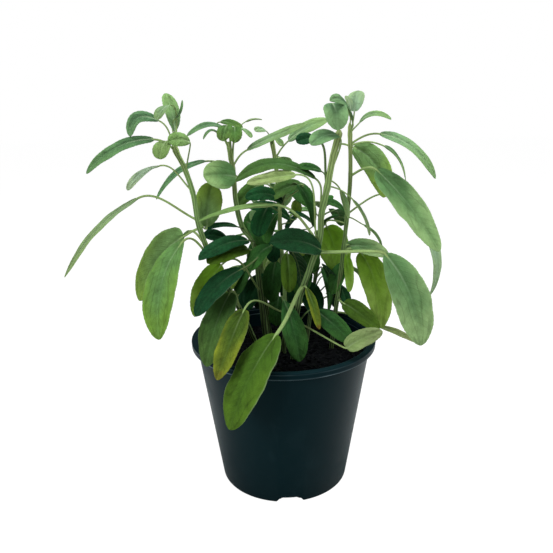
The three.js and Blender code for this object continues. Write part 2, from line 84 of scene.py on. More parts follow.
# %% Sockets that can be added and multiplied
class Wire:
    """An output socket of a node. Arithmetic on it adds Math nodes to its tree."""

    def __init__(self, socket):
        self.socket = socket
        self.tree = socket.id_data

    def math(self, operation, *others):
        values = dict(enumerate([self, *others]))
        return node(self.tree, "ShaderNodeMath", {"operation": operation}, values)

    def __add__(self, other):
        return self.math("ADD", other)

    def __sub__(self, other):
        return self.math("SUBTRACT", other)

    def __rsub__(self, other):
        return node(self.tree, "ShaderNodeMath", {"operation": "SUBTRACT"}, {0: other, 1: self})

    def __mul__(self, other):
        return self.math("MULTIPLY", other)

    def __truediv__(self, other):
        return self.math("DIVIDE", other)

    def __rtruediv__(self, other):
        return node(self.tree, "ShaderNodeMath", {"operation": "DIVIDE"}, {0: other, 1: self})

    def __pow__(self, other):
        return self.math("POWER", other)

    def __abs__(self):
        return self.math("ABSOLUTE")

    def __neg__(self):
        return self * -1

    __radd__ = __add__
    __rmul__ = __mul__

    def rising(self, low, high):
        """0 below low, 1 above high, and a soft step between them."""
        settings = {"interpolation_type": "SMOOTHSTEP"}
        values = {"Value": self, "From Min": low, "From Max": high}
        return node(self.tree, "ShaderNodeMapRange", settings, values)

    def part(self, place):
        """One part of a vector or a colour: 0, 1 or 2."""
        return node(self.tree, "ShaderNodeSeparateXYZ", {}, {0: self}, place)

    def vector(self, operation, other):
        """The same step on each of the three parts of a vector or a colour."""
        values = {0: self, ("Scale" if operation == "SCALE" else 1): other}
        return node(self.tree, "ShaderNodeVectorMath", {"operation": operation}, values)

    def blend(self, other, share):
        """This colour where share is 0, and the other one where it is 1."""
        values = {0: share, 6: self, 7: other}
        return node(self.tree, "ShaderNodeMix", {"data_type": "RGBA"}, values, 2)


def set_sockets(made, values):
    """Sets sockets of a node, each to a number, a colour or a wire."""
    for key, value in values.items():
        if isinstance(value, Wire):
            made.id_data.links.new(value.socket, made.inputs[key])
        else:
            made.inputs[key].default_value = value


def node(tree, kind, settings=None, values=None, output=0):
    """Adds any node: first its settings, then its sockets."""
    made = tree.nodes.new(kind)
    for name, value in (settings or {}).items():
        setattr(made, name, value)
    set_sockets(made, values or {})
    return Wire(made.outputs[output])


def vector_of(x, y, z):
    """A vector from three numbers, of which the first is a wire."""
    return node(x.tree, "ShaderNodeCombineXYZ", {}, {0: x, 1: y, 2: z})


def cloudy(place, scale, detail=2.0):
    """A soft noise from 0 to 1 over places. The scale is about its number of clouds a metre."""
    values = {"Vector": place, "Scale": scale, "Detail": detail}
    return node(place.tree, "ShaderNodeTexNoise", {}, values)


def colour(red, green, blue):
    """A colour that is given as a screen shows it, from 0 to 255, for a shader."""
    parts = [value / 255 for value in (red, green, blue)]
    return tuple(p / 12.92 if p < 0.04045 else ((p + 0.055) / 1.055) ** 2.4 for p in parts) + (1,)


print("a mid grey in a shader:", round(colour(128, 128, 128)[0], 3))


# %% [markdown]
# ## Camera, floor and light
#
# The camera stands where the pot's rim and base have the outlines that they have in the photo:
# a little over 40 cm away, looking down by about 17 degrees, and tilted by less than one. The
# floor and the backdrop are plain and pale. A wide soft light overhead makes the tops of the
# leaves bright and leaves the inside of the plant dark, and two weaker ones light the sides. The
# backdrop is white for the camera but lights the plant only weakly, because a fully white room
# would wash out the dark places between the leaves.

# %% Camera
CAMERA_PLACE = (-4.5, -423.5, 276.2)
CAMERA_PITCH = 16.68
CAMERA_ROLL = -0.68
CAMERA_LENS = 41.59

camera_data = bpy.data.cameras.new("camera")
camera_data.lens = CAMERA_LENS
camera = bpy.data.objects.new("camera", camera_data)
bpy.context.scene.collection.objects.link(camera)
pitch = Matrix.Rotation(math.radians(90 - CAMERA_PITCH), 4, "X")
roll = Matrix.Rotation(math.radians(CAMERA_ROLL), 4, "Z")
camera.matrix_world = Matrix.Translation(Vector(mm(CAMERA_PLACE))) @ pitch @ roll
bpy.context.scene.camera = camera
bpy.context.scene.view_settings.view_transform = "Standard"
print("camera at, mm:", CAMERA_PLACE)

# %% Floor, backdrop and lights
FLOOR_SIZE = 6.0
FLOOR_GRAIN = 60.0
FLOOR_COLOUR = (0.72, 0.72, 0.715, 1)
FLOOR_GRAIN_COLOUR = (0.68, 0.68, 0.675, 1)
FLOOR_ROUGHNESS = 0.9
FLOOR_GLOW = 1.15
FLOOR_GLOW_SHARE = 0.85
WHITE = (1, 1, 1, 1)
BACKDROP_LIGHT = 0.16
LIGHTS = {
    "overhead": {"place": (60, 60, 900), "aim": (0, 0, 150), "size": 600, "power": 8.5},
    "right": {"place": (620, -60, 420), "aim": (20, 0, 120), "size": 260, "power": 2.2},
    "left": {"place": (-500, -600, 480), "aim": (0, 0, 160), "size": 400, "power": 5.0},
}


def link(name, data):
    """A new object in the scene, at the origin."""
    made = bpy.data.objects.new(name, data)
    bpy.context.scene.collection.objects.link(made)
    return made


def material(name):
    """A new material, its tree, its Principled shader and its output."""
    made = bpy.data.materials.new(name)
    made.use_nodes = True
    tree = made.node_tree
    return made, tree, tree.nodes["Principled BSDF"], tree.nodes["Material Output"]


def plain(tree, shade):
    """One colour all over."""
    made = node(tree, "ShaderNodeRGB")
    made.socket.default_value = shade
    return made


def object_place(tree):
    """The place of each point of a surface, in metres."""
    return node(tree, "ShaderNodeTexCoord", output=3)


def make_floor():
    """A floor that the camera sees as white, and that is pale to all other light."""
    half = FLOOR_SIZE / 2
    mesh = bpy.data.meshes.new("floor")
    corners = [(-half, -half, 0), (half, -half, 0), (half, half, 0), (-half, half, 0)]
    mesh.from_pydata(corners, [], [(0, 1, 2, 3)])
    floor = link("floor", mesh)
    pale, tree, shader, output = material("pale_floor")
    grain = cloudy(object_place(tree), FLOOR_GRAIN)
    shade = plain(tree, FLOOR_COLOUR).blend(FLOOR_GRAIN_COLOUR, grain)
    set_sockets(shader, {"Base Color": shade, "Roughness": FLOOR_ROUGHNESS})
    glow = node(tree, "ShaderNodeEmission", {}, {"Color": WHITE, "Strength": FLOOR_GLOW})
    seen = node(tree, "ShaderNodeLightPath") * FLOOR_GLOW_SHARE
    both = node(tree, "ShaderNodeMixShader", {}, {0: seen, 1: Wire(shader.outputs[0]), 2: glow})
    set_sockets(output, {"Surface": both})
    mesh.materials.append(pale)


def make_backdrop():
    world = bpy.data.worlds.new("backdrop")
    world.use_nodes = True
    tree = world.node_tree
    seen = node(tree, "ShaderNodeLightPath")
    strength = seen * (1 - BACKDROP_LIGHT) + BACKDROP_LIGHT
    set_sockets(tree.nodes["Background"], {"Color": WHITE, "Strength": strength})
    bpy.context.scene.world = world


def make_light(name, place, aim, size, power):
    lamp = bpy.data.lights.new(name, "AREA")
    lamp.size = mm(size)
    lamp.energy = power
    made = link(name, lamp)
    away = Vector(mm(place)) - Vector(mm(aim))
    turn = away.to_track_quat("Z", "Y").to_matrix().to_4x4()
    made.matrix_world = Matrix.Translation(Vector(mm(place))) @ turn


make_floor()
make_backdrop()
for name, facts in LIGHTS.items():
    make_light(name, **facts)
print("lights:", list(LIGHTS))


# %% [markdown]
# ## The pot
#
# A nursery pot is one thin moulded shell: a tapered wall, a rim band that overhangs it so that
# pots nest, and a floor with notches and holes for water. A round shape is a profile turned
# about an axis, so its outline is written once, its corners are rounded, and it is spun. The
# notches and holes are then cut by a Boolean modifier, as the mould's inserts would leave them.

# %% Pot sizes
POT_HEIGHT = 106
RIM_RADIUS = 65
RIM_HEIGHT = 5
WALL_TOP_RADIUS = 61
BASE_RADIUS = 45.5
WALL = 1.5
FLOOR = 1.6
FLOOR_STEP = 2
FLOOR_DISC = 26
FOOT_WIDTH = 4
FOOT_SLOPE = 0.6
RIM_TAPER = 0.3
LIP_WIDTH = 1.2
LIP_HEIGHT = 3
POT_SIDES = 144
CORNER_STEPS = 4
MOST_OF_A_SIDE = 0.45
SHARP_ANGLE = 35

NOTCH_COUNT = 3
NOTCH_FRONT_ANGLE = 4
NOTCH_WIDTH = 21
NOTCH_TOP_WIDTH = 13
NOTCH_HEIGHT = 4.2
NOTCH_REACH = 4
DRAIN_RADIUS = 4
DRAIN_PLACE = 34.5
DRAIN_REACH = 6
DRAIN_SIDES = 24


def inner_radius(height):
    """The radius of the pot's inside at a height."""
    along = height / (POT_HEIGHT - RIM_HEIGHT)
    return BASE_RADIUS + (WALL_TOP_RADIUS - BASE_RADIUS) * along - WALL


print("inside of the pot at the top, mm:", inner_radius(POT_HEIGHT - RIM_HEIGHT))


# %% Turned shapes with rounded corners
def rounded(profile):
    """The points of a profile of (radius, height, rounding), with each corner made an arc."""
    points = [np.array(row[:2], float) for row in profile]
    made = []
    for place, (here, row) in enumerate(zip(points, profile)):
        if not row[2] or place in (0, len(points) - 1):
            made.append(here)
            continue
        before = points[place - 1] - here
        after = points[place + 1] - here
        shorter = min(np.linalg.norm(before), np.linalg.norm(after))
        reach = min(row[2], shorter * MOST_OF_A_SIDE)
        start = here + before / np.linalg.norm(before) * reach
        end = here + after / np.linalg.norm(after) * reach
        for step in range(CORNER_STEPS + 1):
            share = step / CORNER_STEPS
            bend = start * (1 - share) ** 2 + here * 2 * share * (1 - share) + end * share**2
            made.append(bend)
    return made


def closed_mesh(name, shape):
    """A mesh of a closed body, with its faces looking outward."""
    bmesh.ops.recalc_face_normals(shape, faces=shape.faces)
    mesh = bpy.data.meshes.new(name)
    shape.to_mesh(mesh)
    shape.free()
    return mesh


def spin(name, profile, sides):
    """A closed body turned about the Z axis from points of radius and height on and off it."""
    shape = bmesh.new()
    rings = []
    for radius, height in mm(profile):
        if radius == 0:
            rings.append([shape.verts.new((0, 0, height))])
            continue
        angles = [2 * math.pi * side / sides for side in range(sides)]
        ring = [(radius * math.cos(turn), radius * math.sin(turn), height) for turn in angles]
        rings.append([shape.verts.new(place) for place in ring])
    for low, high in zip(rings, rings[1:]):
        for side in range(sides):
            after = (side + 1) % sides
            corners = [low[side % len(low)], low[after % len(low)]]
            corners += [high[after % len(high)], high[side % len(high)]]
            shape.faces.new(list(dict.fromkeys(corners)))
    return closed_mesh(name, shape)


def prism(name, outline, near, far):
    """A closed body with an outline of (x, z) that runs along Y from near to far."""
    shape = bmesh.new()
    front = [shape.verts.new(mm((x, near, z))) for x, z in outline]
    back = [shape.verts.new(mm((x, far, z))) for x, z in outline]
    shape.faces.new(front)
    shape.faces.new(back[::-1])
    for place in range(len(outline)):
        after = (place + 1) % len(outline)
        shape.faces.new([front[after], front[place], back[place], back[after]])
    return closed_mesh(name, shape)


def plain_copy(made):
    """The mesh that an object shows with its modifiers, as a new plain mesh."""
    graph = bpy.context.evaluated_depsgraph_get()
    return bpy.data.meshes.new_from_object(made.evaluated_get(graph))


def cut(body, cutter_mesh, turn):
    """Cuts a mesh, turned about Z, out of an object for good."""
    cutter = link("cutter", cutter_mesh)
    cutter.rotation_euler.z = turn
    boolean = body.modifiers.new("cut", "BOOLEAN")
    boolean.operation = "DIFFERENCE"
    boolean.solver = "EXACT"
    boolean.object = cutter
    result = plain_copy(body)
    body.modifiers.clear()
    body.data = result
    bpy.data.objects.remove(cutter)


print("a rounded corner has", CORNER_STEPS + 1, "points")


# %% Make the pot
def make_pot():
    """The shell, turned from its profile of (radius, height, rounding), less notches and holes."""
    rim_bottom = POT_HEIGHT - RIM_HEIGHT
    rim_inner = inner_radius(rim_bottom)
    foot = BASE_RADIUS - FOOT_WIDTH
    step_in = FLOOR_DISC + FLOOR_STEP
    profile = [
        (0, 0, 0), (FLOOR_DISC, 0, 0.5), (step_in, FLOOR_STEP, 0.5), (foot, FLOOR_STEP, 0.4),
        (foot + FOOT_SLOPE, 0, 0.4), (BASE_RADIUS, 0, 1.2), (WALL_TOP_RADIUS, rim_bottom, 0.5),
        (RIM_RADIUS - RIM_TAPER, rim_bottom, 0.9), (RIM_RADIUS, POT_HEIGHT, 1.0),
        (rim_inner + LIP_WIDTH, POT_HEIGHT, 0.8), (rim_inner, POT_HEIGHT - LIP_HEIGHT, 0.6),
        (inner_radius(FLOOR_STEP + FLOOR), FLOOR_STEP + FLOOR, 1.0),
        (step_in - FLOOR / 2, FLOOR_STEP + FLOOR, 0.5), (FLOOR_DISC - FLOOR / 2, FLOOR, 0.5),
        (0, FLOOR, 0),
    ]
    body = link("nursery_pot", spin("nursery_pot", rounded(profile), POT_SIDES))
    low, high = NOTCH_WIDTH / 2, NOTCH_TOP_WIDTH / 2
    notch = [(-low, -1), (low, -1), (high, NOTCH_HEIGHT), (-high, NOTCH_HEIGHT)]
    turns = [2 * math.pi * side / DRAIN_SIDES for side in range(DRAIN_SIDES)]
    hole = [(DRAIN_RADIUS * math.cos(t), DRAIN_RADIUS * math.sin(t) - DRAIN_PLACE) for t in turns]
    for count in range(NOTCH_COUNT):
        turn = math.radians(NOTCH_FRONT_ANGLE + 360 / NOTCH_COUNT * count)
        cut(body, prism("notch", notch, -BASE_RADIUS - NOTCH_REACH, -BASE_RADIUS + NOTCH_REACH), turn)
        drain = prism("drain", hole, -DRAIN_REACH, DRAIN_REACH)
        drain.transform(Matrix.Rotation(math.radians(-90), 4, "X"))
        cut(body, drain, turn)
    body.data.shade_smooth()
    body.data.set_sharp_from_angle(angle=math.radians(SHARP_ANGLE))
    return body


pot = make_pot()
print("pot:", len(pot.data.polygons), "faces")


# %% [markdown]
# ## Potting mix
#
# The mix is a moist, crumbly blend of peat, bark and fibre. Close up, its surface is not one
# sheet but crumbs on crumbs. A lumpy body gives the large form, and Geometry Nodes strew crumbs
# and slivers of bark over its top, in random sizes and turns from a fixed seed, each with only
# a few faces. They are realised, because copies that only exist as instances would be lost when
# the model is exported.

# %% Body of the mix
MIX_TOP = 92
MIX_MOUND = 3
MIX_RINGS = 44
MIX_SIDES = 120
MIX_ABOVE_FLOOR = 0.3
MIX_OFF_WALL = 0.4
MIX_OFF_FLOOR_EDGE = 0.5
MIX_OFF_DISC_EDGE = 2
CALM_EDGE = 8
LUMPS_A_METRE_AND_HEIGHT = [(40, 1.3), (110, 0.7), (260, 0.35)]


def make_mix_body():
    """A turned plug with a mounded top, which lumps of three sizes make uneven."""
    low = FLOOR + MIX_ABOVE_FLOOR
    wall_top = inner_radius(MIX_TOP) - MIX_OFF_WALL
    step = low + FLOOR_STEP
    profile = [(0, low), (FLOOR_DISC - MIX_OFF_DISC_EDGE, low), (FLOOR_DISC, step)]
    profile.append((inner_radius(step) - MIX_OFF_FLOOR_EDGE, step))
    for ring in range(MIX_RINGS, -1, -1):
        share = ring / MIX_RINGS
        profile.append((wall_top * share, MIX_TOP + MIX_MOUND * (1 - share * share)))
    mesh = spin("mix", profile, MIX_SIDES)
    for point in mesh.vertices:
        if point.co.z < mm(MIX_TOP - 0.5):
            continue
        inward = 1 - (point.co.xy.length / mm(wall_top)) ** CALM_EDGE
        for scale, height in LUMPS_A_METRE_AND_HEIGHT:
            point.co.z += mm(height) * noise.noise(point.co * scale) * inward
    return mesh


mix_mesh = make_mix_body()
print("mix body:", len(mix_mesh.polygons), "faces")


# %% A tree that strews crumbs
LEAST_TURN = (-0.5, -0.5, 0.0)
MOST_TURN = (0.5, 0.5, 6.28)


def new_tree(name, inputs):
    """A Geometry Nodes tree with named inputs, and a wire from each of them."""
    tree = bpy.data.node_groups.new(name, "GeometryNodeTree")
    tree.interface.new_socket("Geometry", in_out="OUTPUT", socket_type="NodeSocketGeometry")
    tree.interface.new_socket("Geometry", in_out="INPUT", socket_type="NodeSocketGeometry")
    for label, value in inputs.items():
        kind = {int: "NodeSocketInt", float: "NodeSocketFloat"}.get(type(value), "NodeSocketMaterial")
        socket = tree.interface.new_socket(label, in_out="INPUT", socket_type=kind)
        if value is not None:
            socket.default_value = value
    start = tree.nodes.new("NodeGroupInput")
    wires = {socket.name: Wire(socket) for socket in start.outputs if socket.name}
    return tree, wires


def end_tree(tree, shape, finish):
    """Ends a tree with real geometry in its material."""
    real = node(tree, "GeometryNodeRealizeInstances", {}, {"Geometry": shape})
    done = node(tree, "GeometryNodeSetMaterial", {}, {"Geometry": real, "Material": finish})
    tree.links.new(done.socket, tree.nodes.new("NodeGroupOutput").inputs[0])


def grow(mesh, tree, values):
    """Runs a tree on a mesh and gives the result as a plain mesh."""
    holder = link("holder", mesh)
    modifier = holder.modifiers.new("grow", "NODES")
    modifier.node_group = tree
    for socket in tree.interface.items_tree:
        if socket.name in values:
            modifier[socket.identifier] = values[socket.name]
    result = plain_copy(holder)
    bpy.data.objects.remove(holder)
    return result


def random_number(tree, low, high, seed):
    """A number between two others for each point, from a fixed seed."""
    values = {2: low, 3: high, "Seed": seed}
    return node(tree, "FunctionNodeRandomValue", {"data_type": "FLOAT"}, values, 1)


def crumb_tree():
    inputs = {
        "Count per square metre": 60000.0, "Smallest": 0.0006, "Largest": 0.0022,
        "Shortest share": 0.7, "Longest share": 3.0, "Width share": 0.8, "Height share": 0.55,
        "Widest place": 0.0545, "Seed": 3, "Material": None,
    }
    tree, wire = new_tree("crumbs", inputs)
    up = node(tree, "GeometryNodeInputNormal").part(2)
    flat = node(tree, "GeometryNodeInputPosition").vector("MULTIPLY", (1.0, 1.0, 0.0))
    from_axis = node(tree, "ShaderNodeVectorMath", {"operation": "LENGTH"}, {0: flat}, 1)
    tops = up.math("GREATER_THAN", 0.5) * from_axis.math("LESS_THAN", wire["Widest place"])
    spread = {"Mesh": wire["Geometry"], "Selection": tops, "Density": wire["Count per square metre"],
              "Seed": wire["Seed"]}
    points = node(tree, "GeometryNodeDistributePointsOnFaces", {}, spread)
    ball = node(tree, "GeometryNodeMeshIcoSphere", {}, {"Radius": 1.0, "Subdivisions": 1})
    size = random_number(tree, wire["Smallest"], wire["Largest"], wire["Seed"])
    stretch = random_number(tree, wire["Shortest share"], wire["Longest share"], wire["Seed"] + 1)
    scale = vector_of(size * stretch, size * wire["Width share"], size * wire["Height share"])
    turn = node(tree, "FunctionNodeRandomValue", {"data_type": "FLOAT_VECTOR"},
                {0: LEAST_TURN, 1: MOST_TURN, "Seed": wire["Seed"] + 2})
    place = {"Points": points, "Instance": ball, "Rotation": turn, "Scale": scale}
    crumbs = node(tree, "GeometryNodeInstanceOnPoints", {}, place)
    end_tree(tree, crumbs, wire["Material"])
    return tree


strew_crumbs = crumb_tree()
print("tree of the crumbs:", len(strew_crumbs.nodes), "nodes")


# %% [markdown]
# ## The plant's lines
#
# Every leaf of the solid model is two curves: a stalk from the stem to the blade, and a rib
# through the blade. The table repeats that plan: where each stem goes, and for each leaf the
# kind it is of, the height where it leaves its stem, the base and tip of its blade, its width,
# how high its rib arches, how far it rolls, and what sets it apart: where the arch is highest,
# how far the rib sways to the side, where the blade is widest, how steeply its stalk rises, how
# far the stalk keeps to the rib's line, how thick the stalk is, or how much lighter or darker
# its paint is for its kind, which in part is painted light or shade on that leaf.
#
# Young leaves are frosted with felt, and the lowest have gone olive or yellow. The kinds `deep`
# and `shade` are painted deep green and near black, as painted shade for leaves inside the plant.
# A kind has one colour near the base and one near the tip, because leaves age from the tip. Its
# `felt` says how thick the hairs lie, its `glow` how much light comes through, and `old` how far
# the margin and the tip have faded.

# %% Leaf colours and the plan of the plant
LEAF_KINDS = {
    "downy": {"base": (148, 176, 144), "tip": (150, 174, 130), "felt": 1.0, "glow": 0.35},
    "frosted": {"base": (118, 152, 106), "tip": (124, 156, 98), "felt": 1.0, "glow": 0.2},
    "sage": {"base": (78, 120, 80), "tip": (106, 148, 96), "felt": 0.7, "glow": 0.18},
    "young": {"base": (122, 150, 90), "tip": (112, 142, 78), "felt": 0.8, "glow": 0.3},
    "pale": {"base": (160, 186, 112), "tip": (176, 194, 128), "felt": 0.4, "glow": 0.4},
    "soft": {"base": (88, 132, 80), "tip": (144, 180, 118), "felt": 0.6, "glow": 0.25},
    "green": {"base": (108, 146, 88), "tip": (124, 158, 66), "felt": 0.4, "glow": 0.35},
    "dark": {"base": (66, 106, 48), "tip": (76, 110, 48), "felt": 0.35, "glow": 0.12},
    # deep and shade: painted shade, dark for the shadow that falls inside the plant.
    "deep": {"base": (42, 90, 40), "tip": (50, 96, 38), "felt": 0.2, "glow": 0.03},
    "shade": {"base": (16, 62, 30), "tip": (18, 64, 34), "felt": 0.12, "glow": 0.0},
    "olive": {"base": (66, 100, 28), "tip": (78, 110, 30), "felt": 0.2, "glow": 0.2},
    "lime": {"base": (106, 148, 42), "tip": (140, 174, 78), "felt": 0.3, "glow": 0.55},
    "yellow": {"base": (62, 88, 26), "tip": (96, 112, 30), "felt": 0.2, "glow": 0.1, "old": 1.0},
}
STEM_BOTTOM = 74
